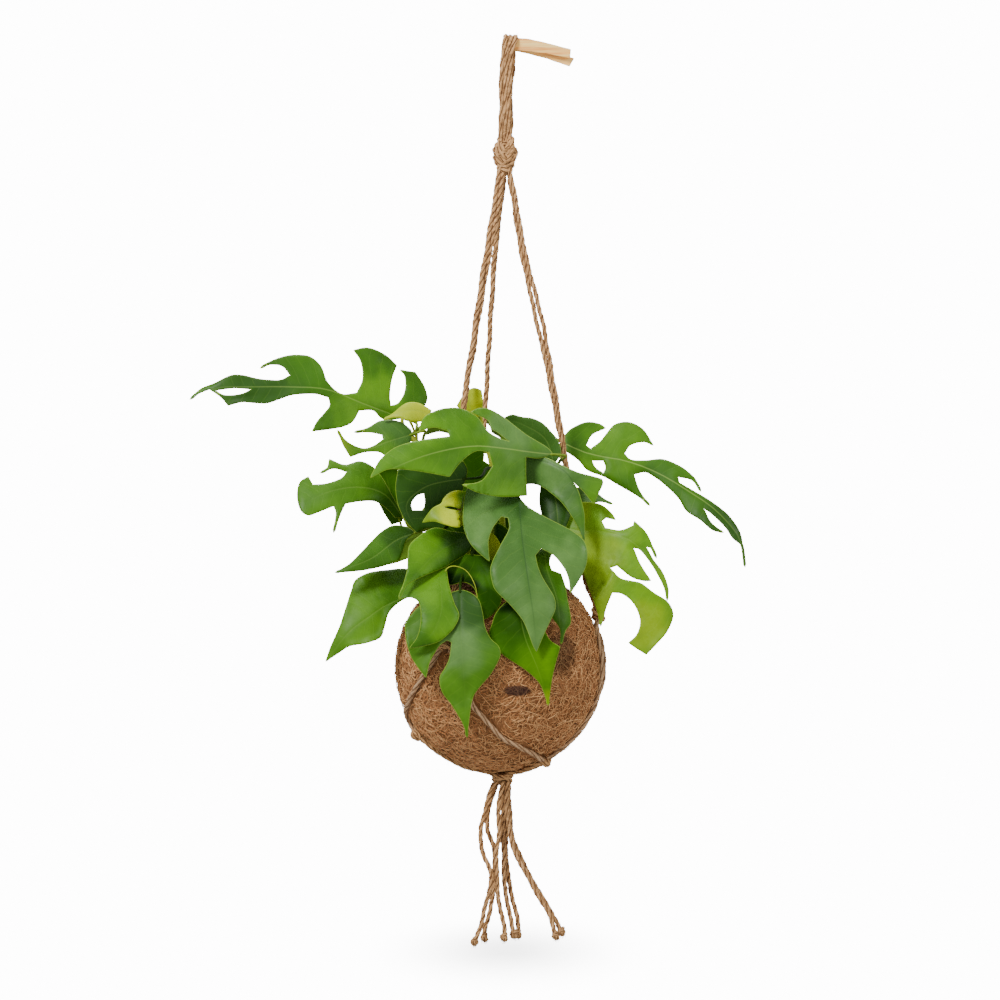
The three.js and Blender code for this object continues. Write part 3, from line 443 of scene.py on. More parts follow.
def add_fuzz(pile, line, per_mm=0.7, longest=6 * MM):
    """Stray fibres that leave a cord all along it, either way."""
    line = spaced(line, RING_STEP)
    ahead, side, up = cross_directions(line)
    for _ in range(int(len(line) * RING_STEP / MM * per_mm)):
        i = rng.integers(len(line))
        turn, length = rng.uniform(0, 2 * np.pi), longest * rng.uniform(0.3, 1) ** 1.5
        out = side[i] * np.cos(turn) + up[i] * np.sin(turn)
        forward = ahead[i] * rng.choice([-1, 1])
        curl = np.cross(out, forward) * rng.normal(0, 0.35)
        t = np.linspace(0, 1, 4)[:, None]
        hair = forward * t * 0.8 + out * 0.45 * t**1.6 + curl * t**2
        add_hair(pile, line[i] + out * HAIR_ROOT + length * hair, 0.085, 0.03, 400)


# %% [markdown]
# ## The tassel
#
# The cord ends hang below the last knot, and each ends in a small knot with a frayed tip. They are
# the only cords that hang free, so their length is printed. Each follows the same
# points as its solid.

# %% Tassel cords
TASSEL = {
    "tassel_1": """-9,-4,-637 -15.5,-7.5,-649 -19,-9,-666 -22.5,-8,-677 -22.5,-8,-688 -20.5,-9,-700
        -13.5,-10,-718 -16,-10,-735 -18.5,-9,-744 -22,-8,-760 -26.5,-7,-772 -28,-6,-776""",
    "tassel_2": """-8,4,-637 -12.5,5,-651 -17,6,-667 -16.5,5,-680 -12.5,4,-691 -10.5,4,-706
        -11.5,4,-728 -14,4,-748 -18.5,5,-762 -19.5,5,-773""",
    "tassel_3": """-4,-6,-638 -6,-9.5,-652 -7.5,-9,-668 -7,-8,-685 -9,-8,-700 -8.5,-8,-720
        -8,-8,-734 -5,-9,-750 -2.5,-9,-764 -2.5,-9,-772""",
    "tassel_4": """-3,0.5,-638 -3,0.5,-655 -4,0,-670 -4,-0.5,-685 -2.5,0,-705 -2.5,0,-724
        0,0,-740 3.5,0,-758 6,0,-770""",
    "tassel_5": """-2,6,-638 -2,8,-660 -1.5,9,-680 -0.5,8,-700 1,7,-720 4.5,7,-738 9,7,-756
        9.5,8,-770""",
    "tassel_6": """0.5,-5,-638 0,-7,-654 1,-8,-670 4,-8,-690 10,-7,-705 20,-5,-724 30,-4,-741
        36,-3,-752 40,-3,-764 42,-3,-771""",
    "tassel_7": """2,3,-638 2,5,-657 4.5,5,-684 11,4,-702 20,3.5,-720 30,3,-737 38.5,3,-752
        44.5,3,-762 47,3,-768""",
}
print("tassel cords:", len(TASSEL))

# %% End knots: a few tight turns and a frayed tip
END_RADIUS = 2.0 * MM
END_TURNS = ((0.5, 0.9, 0.4), (-0.6, 0.5, -0.6), (1.5, 0.2, 0.2), (0.2, -0.7, 2.2))
END_STRANDS = 26
LOWEST_STRAND = 5.5 * MM


def ring_line(middle, radius, tip_x=0.0, tip_y=0.0, wander=0.0, phase=0.0):
    """A closed turn of cord round a middle, tipped about X and then about Y."""
    turn = np.linspace(0.5 * np.pi, 2.5 * np.pi, 41)
    reach = radius + wander * np.sin(2 * turn + phase)
    ring = np.stack([reach * np.cos(turn), reach * np.sin(turn), 0 * turn], 1)
    cx, sx, cy, sy = math.cos(tip_x), math.sin(tip_x), math.cos(tip_y), math.sin(tip_y)
    about_y = np.array([[cy, 0, sy], [0, 1, 0], [-sy, 0, cy]])
    about_x = np.array([[1, 0, 0], [0, cx, -sx], [0, sx, cx]])
    return np.asarray(middle) + ring @ (about_y @ about_x).T


def add_end_knot(pile, tip, tone):
    for tip_x, tip_y, rise in END_TURNS:
        turn = ring_line(tip + [0, 0, rise * MM], END_RADIUS, tip_x, tip_y)
        add_cord(pile, turn, tone, TIGHT, END_LAY)
    for _ in range(END_STRANDS):
        start = tip + rng.normal(0, 0.9, 3) * MM
        sway = np.array([rng.normal(0, 1.1), rng.normal(0, 1.1), -rng.uniform(2.5, 6.0)]) * MM
        t = np.linspace(0, 1, 4)[:, None]
        strand = start + sway * t + rng.normal(0, 0.5, 3) * MM * t * (1 - t) * 4
        strand[:, 2] = np.maximum(strand[:, 2], tip[2] - LOWEST_STRAND)
        add_hair(pile, strand, 0.16, 0.06, 300)


# %% The seven ends
tassel_fuzz = Pile()
for node, text in TASSEL.items():
    line = smooth(read_points(text), RING_STEP)
    length = float(np.linalg.norm(np.diff(line, axis=0), axis=1).sum())
    cord, knot = Pile(), Pile()
    add_cord(cord, line, rng.random(), FULL, TASSEL_LAY)
    add_end_knot(knot, line[-1], rng.random())
    add_fuzz(tassel_fuzz, line, 0.9, 5 * MM)
    knot_piece = knot.piece(node + "_end", JUTE, "jute_cord")
    piece = cord.piece(node + "_cord", JUTE, "jute_cord", node)
    print(node, round(length / MM), "mm")
tassel_fuzz.piece("tassel_fuzz", JUTE, "jute_cord")

# %% [markdown]
# ## The hanger
#
# Three cords go side by side over the peg and end in a wound knot. Three pairs of cords leave it.
# The two cords of a pair turn loosely round each other, so an offset that turns along the line
# gives them. One pair also parts for a stretch. Single cords then form the net, and pairs run
# under the ball to the last knot.

# %% Loop over the peg
TOP_KNOT = np.array([-1.5, 0, -98]) * MM
SIDE_BY_SIDE = (-3.9, 0, 3.9)            # millimetres from the middle cord


def loop_line(offset):
    """Up the front, over the peg and down the back, for one of the cords side by side."""
    top, neck, foot = 3.2 + offset, -1.9 + offset * 0.85, -2.2 + offset * 0.75
    back = 1.7
    return smooth(np.array([
        [foot, -3.2, -92], [neck, -4.6, -77], [neck, -6, -58], [neck + 0.6, -7.4, -34],
        [top - 3, -9.2, -12], [top - 1.4, -9.2, -4], [top, -7.9, 1.2], [top, -4.5, 2.4],
        [top, 2.5, 2.5], [top, 6.4, 1.2], [top - 1.4, 8.4, -5], [top - 3 + back, 9, -14],
        [neck + 0.6 + back, 7.2, -34], [neck + back, 6, -58], [neck + back, 4.6, -77],
        [foot + back, 3.2, -92]]) * MM, RING_STEP)


loop = Pile()
for offset in SIDE_BY_SIDE:
    add_cord(loop, loop_line(offset), rng.random(), FULL, LOOSE_LAY, 0.5 * MM)
    add_fuzz(loop, loop_line(offset))
loop.piece("loop_cords", JUTE, "jute_cord", "hanger_loop")
print("loop of three cords:", loop.count, "points")

# %% [markdown]
# ### Wound knots
#
# A real knot is one cord that goes under and over itself. To trace that path is slow work, and
# little of it shows. What shows is a ball of short cord arcs that cross at several slants. So a
# knot here is a few closed turns of the same cord, each tipped its own way, round a heart painted
# in the groove's dark colour. The heart is painted shade that closes the gaps between them.

# %% Wound knots
CORE_CORD = 1.5 * MM
# Painted shade: these marks give the dark groove colour to a knot's heart and to the tubes inside its cords,
# where there is only shade between the turns.
SHADE_CORE_MARKS = {"along": 0.0, "around": 0.0, "crest": 0.1, "tone": 0.5}      # dark, under the cords


def wound_knot(name, node, middle, turns, core, extra=(), inner=(), thick=1.0):
    """turns: radius, tip about X, tip about Y, height and wander, in millimetres and radians.
    core: half the width and half the height of the dark heart, in millimetres."""
    pile = Pile()
    for number, (radius, tip_x, tip_y, rise, wander) in enumerate(turns):
        line = ring_line(middle + np.array([0, 0, rise]) * MM, radius * MM, tip_x, tip_y,
                         wander=wander * MM, phase=number * 1.3)
        add_cord(pile, line, rng.random(), thick)
        add_fuzz(pile, line, 0.5)
    for line in extra:
        add_cord(pile, line, rng.random(), thick)
        add_fuzz(pile, line, 0.6)
    for line in inner:
        add_tube(pile, line[::3], CORE_CORD, 7, **SHADE_CORE_MARKS)
    heart = smooth(middle + np.array([[0, 0, core[1]], [0, 0, 0], [0, 0, -core[1]]]) * MM, count=8)
    swell = np.sqrt(np.clip(1 - np.linspace(-0.96, 0.96, 9) ** 2, 0, 1)) * core[0] * MM
    add_tube(pile, heart, swell, 12, **SHADE_CORE_MARKS)
    return pile.piece(name, JUTE, "jute_cord", node)


# %% The top knot: slanting turns round an egg
KNOT_HALF = np.array([8.8, 8.2, 12.2]) * MM
NECK_TURNS = [(4.8, 0.12, 0.05, -14.0, 0.2), (5.6, -0.1, -0.12, -11.2, 0.2)]
BANDS = (
    # shift in millimetres, size, lean to the side, pitch to the front, place from -1 to 1
    ((-0.8, 0, -1.0), (0.92, 0.35, -0.2, -0.55)), ((-1.0, 0, -0.5), (0.96, 0.45, -0.3, -0.18)),
    ((-1.0, 0, 0.0), (0.94, 0.5, -0.35, 0.2)), ((-1.0, 0, 0.5), (0.86, -0.3, 0.3, 0.5)),
    ((2.2, -0.6, 2.6), (0.94, -0.95, -0.5, 0.3)), ((1.0, -0.8, 1.0), (0.98, -1.0, -0.5, 0.02)),
    ((0.8, -0.4, -1.2), (0.98, -0.75, -0.4, -0.4)), ((2.6, 0, 3.4), (0.62, -0.9, -0.3, 0.4)),
    ((-0.4, 0, -1.4), (0.92, 0.1, -0.35, -0.62)), ((0, 0.5, 0.5), (0.98, 1.15, 0.5, 0.4)),
    ((0.8, -0.4, 0.8), (1.0, -0.75, -0.5, 0.56)), ((-0.6, -0.4, 1.6), (0.98, 0.55, -0.45, 0.5)))


def wrap(middle, stand, lean, pitch, place):
    """One slanting turn round the egg."""
    axis = unit(np.array([math.sin(lean), math.sin(pitch), math.cos(lean)]))
    side = unit(np.cross(axis, [0, 1, 0]))
    ahead = np.cross(axis, side)
    t = np.linspace(0, 2 * np.pi, 61)[:, None]
    ring = axis * place + math.sqrt(1 - place**2) * (side * np.cos(t) + ahead * np.sin(t))
    return middle + ring * KNOT_HALF * stand


bands = [wrap(TOP_KNOT + np.array(shift) * MM, *facts) for shift, facts in BANDS]
wound_knot("wound_top_knot", "top_knot", TOP_KNOT, NECK_TURNS, (7.6, 12), bands, thick=1.18)
print("top knot of", len(bands), "turns")

# %% The ball's place, and knots on it
BALL = np.array([-6.5, 0, -540]) * MM
BALL_RADIUS = 88.5 * MM
KNOT_STANDOFF = 95.7 * MM
ON_BALL = 90.3 * MM


def knot_on_ball(x, z, side, stand=KNOT_STANDOFF):
    """A knot's middle, from where it is seen against the ball, in millimetres from its middle."""
    x, z = x * MM, z * MM
    return BALL + np.array([x, side * math.sqrt(stand**2 - x**2 - z**2), z])


# %% Pairs of cords down to the ball
# Each leg: its line, its knot, where the pair starts to turn, how many half turns it makes,
# how far it parts, and how thick its cords are.
LEGS = {
    "leg_front_left": ("""-4.2,-2.6,-104 -5.6,-4.2,-118 -9,-8,-140 -16,-18,-181 -23,-27,-224 -29.5,-34,-267
        -36.5,-38,-310 -40.5,-44,-385 -42.5,-46,-440 -45,-62,-478 -50,-79,-508""",
                       knot_on_ball(-46, 21, -1), 0.1, 0.76, 0, 1.12),
    "leg_back": ("""-1.8,3.6,-104 -3,5.6,-118 -5.5,9.5,-138 -10,19,-181 -14.5,27,-245 -18.5,40,-311
        -26,58,-400 -34,76,-470 -39,85,-505""", knot_on_ball(-36, 21, 1), 1.2, 0.3, 0, 1.18),
    "leg_right": ("""1.2,-1.8,-104 2.8,-2.0,-118 6.4,-2.2,-138 13.5,-5,-181 25,-8,-230 33,-10,-267
        41,-12,-310 48.5,-12,-353 56,-10,-400 68,-6,-463 75.5,-4,-483""",
                  np.array([78.5, -3, -495]) * MM, -1.32, 1.25, 0.4, 1.08),
}
LEG_TURNS = [(4.3, 0.5, 0.3, 3.2, 0.2), (4.4, -0.4, 0.2, -2.6, -0.2), (4.2, 0.9, -0.9, 0.4, 0.3)]
PAIR_SPREAD = 1.85 * MM
PARTS_AT, PARTS_OVER = 0.35, 0.06        # shares of the leg's length


def pair_lines(route, first, turns, parted):
    """Two cords that turn round a line, and part once where a number says so."""
    middle = smooth(route, RING_STEP)
    t = np.linspace(0, 1, len(middle))[:, None]
    apart = PAIR_SPREAD * (1 + parted * np.exp(-(((t - PARTS_AT) / PARTS_OVER) ** 2)))
    lines = []
    for start in (first, first + np.pi):
        angle = start + turns * np.pi * t
        lines.append(middle + apart * np.hstack([np.cos(angle), np.sin(angle), 0 * t]))
    return lines


for node, (text, knot, first, turns, parted, thick) in LEGS.items():
    pair = pair_lines(np.vstack([read_points(text), knot]), first, turns, parted)
    core = sum(pair) / 2
    inner = [core[:len(core) // 6], core[-len(core) // 3:]] if parted else [core]
    wound_knot(node + "_cords", node, knot, LEG_TURNS, (3.6, 7), pair, inner, thick)
print("legs:", ", ".join(LEGS))

# %% [markdown]
# ### The net
#
# Under load the cords of the net lie tight on the ball. Their places are known only as they are
# seen, from the front or the back. Each is put on a sphere a little larger than the ball at that
# place, and a cord seen at the ball's edge is put beside it. The points of every laid cord are
# kept, because the fibres of the ball must stay clear of them later.

# %% The net round the ball
EDGE_Y = 4.5 * MM                        # a cord seen at the ball's edge lies this far off it
FULL_REACH = ON_BALL - 0.5 * MM


def on_ball(spot, side):
    """The place on the ball that is seen at a spot, on its front (-1) or its back (1)."""
    dx, dz = spot - BALL[[0, 2]]
    flat = math.hypot(dx, dz)
    if flat >= FULL_REACH:
        return BALL + np.array([dx * ON_BALL / flat, side * EDGE_Y, dz * ON_BALL / flat])
    return BALL + np.array([dx, side * math.sqrt(ON_BALL**2 - flat**2), dz])


LOW_STANDOFF = 93 * MM
LOWER_KNOTS = {
    "lower_knot_left": knot_on_ball(-71.5, -58, -1, LOW_STANDOFF),
    "lower_knot_right": knot_on_ball(39.5, -80.5, -1, LOW_STANDOFF),
    "lower_knot_back": knot_on_ball(38, -73, 1, LOW_STANDOFF),
}
BASE_KNOT = np.array([-4, 0, -634]) * MM
NET = {
    "net_cord_1": ("leg_front_left", "lower_knot_left",
                   "-59,-526 -66,-539 -73,-548 -80,-560 -84,-569 -87,-579 -86,-589", -1),
    "net_cord_2": ("leg_front_left", "lower_knot_right",
                   "-46,-529 -40,-547 -29,-571 -20,-582 -11,-592 0,-602 12,-607.5 23,-614", -1),
    "net_cord_3": ("leg_right", "lower_knot_right",
                   "77,-508 80.8,-530 80,-556 71,-581 55,-602", -1),
    "net_cord_4": ("leg_right", "lower_knot_back", "82,-505 86,-520 86,-540 80,-560 68,-582 54,-598", 1),
    "net_cord_5": ("leg_back", "lower_knot_back", "-36,-530 -24,-552 -8,-575 10,-594", 1),
    "net_cord_6": ("leg_back", "lower_knot_left", "-50,-529 -62,-545 -72,-562 -79,-580", 1),
}
LAID = []
for node, (start, end, text, side) in NET.items():
    skin = [on_ball(spot, side) for spot in read_points(text)]
    line = smooth([LEGS[start][1], *skin, LOWER_KNOTS[end]], RING_STEP)
    LAID.extend(line)
    pile = Pile()
    add_cord(pile, line, rng.random(), 1.08, LOOSE_LAY)
    add_fuzz(pile, line, 0.5)
    pile.piece(node + "_laid", NET_JUTE, "jute_cord", node)
print("net of", len(NET), "cords")

# %% Pairs under the ball, and the last knot
BASE_TURNS = [(8.0, 0.25, 0.20, 1.8, 0.3), (7.6, -0.3, 0.15, -2.2, -0.3), (7.2, 0.1, -0.35, 0.2, 0.3),
              (5.4, 1.4, 0.3, 0, 0.2), (5.0, 0.9, 1.0, 0.3, 0.2)]
LOWER_TURNS = [(3.5, 0.4, 0.6, 0, 0.2), (3.3, 1.2, 0.4, 0.5, 0.2), (3.2, -0.7, 0.9, -0.5, 0.2)]
SHARES = (0.8, 0.6, 0.42, 0.25)          # how far out the pair is held to the ball
CLEAR = 1.3 * MM                         # the right front pair stands off a little


def under_ball(place, share):
    """A place on the way from a lower knot to the base knot, held to the ball's skin."""
    x = BASE_KNOT[0] + (place[0] - BASE_KNOT[0]) * share
    y = place[1] * share
    reach = ON_BALL + (CLEAR if place[0] > 0 > place[1] else 0)
    return np.array([x, y, BALL[2] - math.sqrt(reach**2 - (x - BALL[0]) ** 2 - y**2)])


for node, place in LOWER_KNOTS.items():
    route = np.array([place, *[under_ball(place, share) for share in SHARES], BASE_KNOT])
    ahead = unit((BASE_KNOT - place) * [1, 1, 0])
    aside = np.array([-ahead[1], ahead[0], 0]) * CORD * 0.5
    strands = [smooth(route + way * aside, RING_STEP) for way in (-1, 1)]
    LAID.extend(np.concatenate(strands))
    wound_knot(node + "_cords", node, place, LOWER_TURNS, (3.0, 4.2), strands)

wound_knot("wound_base_knot", "base_knot", BASE_KNOT, BASE_TURNS, (6.0, 5.5))
print("lower knots:", len(LOWER_KNOTS), "and the base knot, with", len(LAID), "laid points")

# %% [markdown]
# ## The peg
#
# The peg is a thin billet of pale softwood, split in two along its grain. Split wood has soft
# edges and long fine lines that follow the slat. The solid has the slat's true outline, so a copy
# is rounded along its edges, cut finer, and roughened a little.

# %% Wood
ALONG_SLAT = (0, -0.2, 0)                # the slats slope, and their grain with them


def wood_finish():
    wood = Finish("split_wood", Roughness=0.62, Specular_IOR_Level=0.35)
    grain = wood.noise(wood.stretched((22, 420, 560), ALONG_SLAT), 1.0, 5.0, 0.6)
    rings = wood.noise(wood.stretched((8, 120, 210), ALONG_SLAT), 1.0, 2.0)
    pale = wood.mix(grain.between(0.32, 0.7), colour(255, 182, 90), colour(255, 222, 138))
    lined = wood.mix(rings.between(0.52, 0.6) * 0.75, pale, colour(222, 132, 56))
    return wood.set(Base_Color=lined, Normal=wood.bump(grain, 0.0006, 0.7))


WOOD = wood_finish()
print("nodes in the wood:", len(WOOD.node_tree.nodes))

# %% [markdown]
# ### Unevenness
#
# Wood, coir and leaves all swell and dip a little. Noise in a material would only look uneven.
# The mesh itself is moved here, so that the edges show it too. A sum of a few waves in random
# directions is smooth, quick, and the same at each run.

# %% Ripples
def ripples(points, waves, reach, seed):
    """A smooth random height at each point, from a few waves in random directions."""
    dice = np.random.default_rng(seed)
    height = np.zeros(len(points))
    for _ in range(waves):
        way = unit(dice.normal(size=3)) * 2 * np.pi / reach * dice.uniform(0.6, 1.6)
        height += np.sin(points @ way + dice.uniform(0, 2 * np.pi))
    return height / math.sqrt(waves)


# %% Cutting a slat finer
import bmesh

SLAT_START = -2.4 * MM
SOFT_EDGE = 0.5 * MM
LONGEST_EDGE = 1.6 * MM
ALL_AT_ONE = 0.01 * MM
ON_GRAIN = (0.12, 1, 1)                  # ripples are long along the slat
FINE_RIPPLE, BROAD_RIPPLE = 0.11, 0.16


def cut_finer(work):
    """Cuts edges in half until none is long."""
    for _ in range(6):
        long = [edge for edge in work.edges if edge.calc_length() > LONGEST_EDGE]
        if not long:
            break
        bmesh.ops.subdivide_edges(work, edges=long, cuts=1)
        bmesh.ops.triangulate(work, faces=work.faces)


# %% Slats
def slat(node, seed):
    """A copy of a slat's solid with soft edges and ripples along its grain."""
    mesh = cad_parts[node].data.copy()
    mesh.name = node + "_split"
    work = bmesh.new()
    work.from_mesh(mesh)
    for corner in work.verts:
        corner.co.x = max(corner.co.x, SLAT_START)
    bmesh.ops.remove_doubles(work, verts=work.verts, dist=ALL_AT_ONE)
    bmesh.ops.dissolve_limit(work, angle_limit=0.01, verts=work.verts, edges=work.edges)
    bmesh.ops.bevel(work, geom=list(work.edges), offset=SOFT_EDGE, segments=3, affect="EDGES", profile=0.5)
    bmesh.ops.triangulate(work, faces=work.faces)
    cut_finer(work)
    work.to_mesh(mesh)
    work.free()
    mesh.validate()
    points = np.array([v.co for v in mesh.vertices])
    normals = np.array([v.normal for v in mesh.vertices])
    lines = ripples(points * ON_GRAIN, 9, 3.5 * MM, seed) * FINE_RIPPLE
    points += normals * (lines + ripples(points, 6, 16 * MM, seed + 1) * BROAD_RIPPLE)[:, None] * MM
    mesh.vertices.foreach_set("co", points.ravel())
    mesh.materials.clear()
    mesh.materials.append(WOOD)
    mesh.shade_smooth()
    return dress(bpy.data.objects.new(node + "_split", mesh), "peg_wood", node)


for seed, node in enumerate(("peg_front_slat", "peg_back_slat")):
    piece = slat(node, 40 + seed)
    print(piece.name, len(piece.data.polygons), "faces")

# %% [markdown]
# ## The coir ball
#
# Coir is the husk fibre of a coconut, pressed and wound to a ball round the soil. The eye sees a
# tangle of pale and dark fibres with deep shade between them. A lumpy shell carries the form, and
# its dark colour is painted shade deep in the tangle. Some twenty thousand curved fibres lie on it.
# The further a fibre stands off the shell the paler it is painted, so low fibres carry painted
# shade and the highest painted light. Each fibre walks over the ball in small steps, and turns a
# little to the same side at each step.

# %% Coir finish
SCAR, SCAR_HALF = (0.0086, -0.5586), (0.0125, 0.0048)
# A darker patch on the front of the ball, right of its middle.
DARK_PATCH, DARK_PATCH_HALF = (0.0456, -0.527), (0.014, 0.02)
# Painted shade: near the mouth the coir is darkened, where the leaves shade it.
TOP_SHADE_FROM, TOP_SHADE_ALL = -0.478, -0.464


def blot(across, up, middle, half):
    """0 in the middle of a blot and 1 at its edge."""
    return ((across - middle[0]) / half[0]) ** 2 + ((up - middle[1]) / half[1]) ** 2


def coir_finish():
    coir = Finish("coir", Roughness=0.85, Specular_IOR_Level=0.25)
    tone, place = coir.mark("tone"), coir.place()
    streaks = coir.noise(place, 900.0, 3.0)
    # A fibre's tone picks its colour. Tone follows how far a fibre stands off the shell, so its dark end is
    # painted shade and its palest end painted light, with a random spread of the coir's own browns.
    fibre = coir.mix(tone.between(0.0, 0.5), colour(88, 52, 27), colour(216, 152, 96))
    fibre = coir.mix(tone.between(0.45, 1.0), fibre, colour(240, 186, 126))
    fibre = coir.mix(streaks.between(0.35, 0.75) * 0.4, fibre, colour(120, 72, 34))
    x, y, z = coir.axes(place)
    ragged = coir.noise(place, 160.0, 3.0) * 0.5 + 0.75
    scar = (blot(x, z, SCAR, SCAR_HALF) * ragged).between(1.25, 0.5)
    dark_patch = (blot(x, z, DARK_PATCH, DARK_PATCH_HALF) * ragged).between(1.3, 0.3)
    front = y.between(-0.02, -0.05)
    marked = coir.mix(scar * front * 0.85, fibre, colour(62, 38, 36))
    # The front is darker on that patch.
    marked = coir.mix(dark_patch * front * 0.6, marked, colour(74, 50, 32))
    # Painted shade near the mouth, under the leaves.
    top_shade = (z + coir.noise(place, 60.0) * 0.012).between(TOP_SHADE_FROM, TOP_SHADE_ALL)
    return coir.set(Base_Color=coir.mix(top_shade * 0.75, marked, colour(58, 36, 22)),
                    Normal=coir.bump(streaks, 0.0006, 0.5))


COIR = coir_finish()
print("nodes in the coir:", len(COIR.node_tree.nodes))

# %% Ball shell
MOUTH_RADIUS = 47 * MM
WALL = 8 * MM
NEAR_FOOT = math.pi - 0.01


def add_lathe(pile, profile, sides, middle, lumps, **marks):
    """A profile turned round the upright, with lumps on it."""
    angles = np.arange(sides) * 2 * np.pi / sides
    rows = len(profile)
    radius, height = profile[:, 0, None], profile[:, 1, None]
    points = np.stack([radius * np.cos(angles), radius * np.sin(angles), height + 0 * angles], -1)
    points = points.reshape(-1, 3)
    away = np.linalg.norm(points, axis=1)
    bumps = 0.6 * ripples(points, 14, 26 * MM, 5) + 0.4 * ripples(points, 24, 7 * MM, 6)
    points *= (1 + lumps * bumps / np.maximum(away, 1 * MM))[:, None]
    pile.add(points + middle, ring_faces(rows, sides), **marks)


def arc(start, end, rings, radius):
    """A profile along a sphere, between two angles from its top."""
    angles = np.linspace(start, end, rings)
    return np.stack([np.sin(angles), np.cos(angles)], 1) * radius


lip = math.asin((MOUTH_RADIUS - 2 * MM) / (BALL_RADIUS - WALL))
shell = Pile()
# The shell's low tone gives it the dark coir colour: painted shade deep between the fibres.
add_lathe(shell, np.vstack([
    arc(NEAR_FOOT, math.asin(MOUTH_RADIUS / BALL_RADIUS), 110, BALL_RADIUS - 0.6 * MM),
    arc(lip, NEAR_FOOT, 40, BALL_RADIUS - WALL)]), 220, BALL, 0.5 * MM, tone=0.2)
shell.piece("coir_shell", COIR, "coir_fibre", "coir_ball")
print("coir shell of", shell.count, "points")

# %% [markdown]
# ### Loose fibres
#
# Fibres as separate objects would take hours, and a texture of fibres looks flat at the ball's
# edge. Blender's hair isn't a mesh, so it would be lost in an export. The fibres are thin
# three-sided tubes here, worked out for a whole mat at once as arrays. One that would stand up
# through a laid cord is left out. A tree of near points tells how close the cord is.

# %% Loose fibres
from mathutils.kdtree import KDTree


def add_hairs(pile, lines, out, thick, taper=0.35, **marks):
    """Many thin three-sided tubes at once. lines and out are hair by ring by xyz."""
    hairs, rings, _ = lines.shape
    ahead = unit(np.gradient(lines, axis=1))
    side = unit(np.cross(ahead, out))
    up = np.cross(side, ahead)
    width = np.interp(np.linspace(0, 1, rings), [0, 0.15, 0.8, 1], [taper, 1, 1, taper])
    width = thick[:, None, None, None] * width[:, None, None]
    angles = np.arange(3) * 2 * np.pi / 3
    rim = side[:, :, None] * np.cos(angles)[:, None] + up[:, :, None] * np.sin(angles)[:, None]
    points = (lines[:, :, None] + width * rim).reshape(-1, 3)
    faces = [some + np.arange(hairs)[:, None, None] * rings * 3 for some in ring_faces(rings, 3)]
    marks = {name: np.repeat(values, rings * 3) for name, values in marks.items()}
    pile.add(points, [some.reshape(-1, some.shape[-1]) for some in faces], **marks)


# %% Where a laid cord holds the fibres down
HELD = 2.5 * MM
net_tree = KDTree(len(LAID))
for i, spot in enumerate(LAID):
    net_tree.insert(spot, i)
net_tree.balance()


def pressed(spot):
    """True close to a laid cord."""
    return net_tree.find(spot)[2] < HELD


# %% Mats of fibres
TOP = math.cos(math.asin(MOUTH_RADIUS / BALL_RADIUS)) * 0.995
LYING = 0.25 * MM                        # a fibre as low as this may pass under a cord


def coir_fibres(count, seed, low, high, thick):
    """Fibres from low to high long, each a walk over the ball in seven steps."""
    dice, rings = np.random.default_rng(seed), 8
    height = dice.uniform(-1, TOP, count)
    turn = dice.uniform(0, 2 * np.pi, count)
    flat = np.sqrt(1 - height**2)
    out = np.stack([flat * np.cos(turn), flat * np.sin(turn), height], 1)
    wrap = dice.normal(0, 1, (count, 3)) + dice.choice([-1, 1], count)[:, None] * [0, 0, 1.1]
    ahead = unit(np.cross(out, wrap))
    step = dice.uniform(low, high, count) / (rings - 1)
    bend = dice.normal(0, 0.13, count)
    lift = dice.uniform(0.1, 1.6, count) ** 1.4 * MM
    arc = dice.uniform(-0.5, 1.3, count) * MM
    lines, outs = [], []
    for ring in range(rings):
        t = ring / (rings - 1)
        radius = BALL_RADIUS - 0.9 * MM + lift + arc * math.sin(math.pi * t)
        lines.append(out * radius[:, None])
        outs.append(out)
        turned = bend + dice.normal(0, 0.17, count)
        ahead = ahead * np.cos(turned)[:, None] + np.cross(out, ahead) * np.sin(turned)[:, None]
        moved = unit(out + ahead * (step / BALL_RADIUS)[:, None])
        moved[:, 2] = np.minimum(moved[:, 2], TOP + 0.03)
        out = unit(moved)
        ahead = unit(ahead - out * (ahead * out).sum(1, keepdims=True))
    lines, outs = np.stack(lines, 1) + BALL, np.stack(outs, 1)
    # Painted shade and light: a fibre is painted paler the further it stands off the shell, with a random
    # spread.
    tone = np.clip(0.25 + lift / (2.5 * MM) + dice.normal(0, 0.26, count), 0, 1)
    thick = dice.uniform(*thick, count) * MM
    clear = np.array([rise < LYING or not any(pressed(spot) for spot in line)
                      for rise, line in zip(lift, lines)])
    pile = Pile()
    add_hairs(pile, lines[clear], outs[clear], thick[clear], tone=tone[clear])
    return pile


MATS = [(4200, 5, 13, (0.2, 0.38)), (4200, 5, 13, (0.18, 0.34)), (4200, 5, 15, (0.14, 0.3)),
        (4200, 4, 13, (0.16, 0.32)), (4200, 5, 14, (0.14, 0.3)), (1300, 14, 30, (0.2, 0.34))]
for number, (count, low, high, thick) in enumerate(MATS):
    mat = coir_fibres(count, 60 + number, low * MM, high * MM, thick)
    mat.piece(f"coir_fibres_{number + 1}", COIR, "coir_fibre")
print("fibres thrown:", sum(mat[0] for mat in MATS))

# %% [markdown]
# ## Soil
#
# The stems stand in soil that shows as a dark, crumbly mound between them. It is a domed disc with
# grains on it, and a few pale bits of husk.

# %% Soil finish
SOIL_TOP = -457 * MM
SOIL_DROP, SOIL_DEPTH = 9 * MM, 20 * MM
CRUMBS = 700


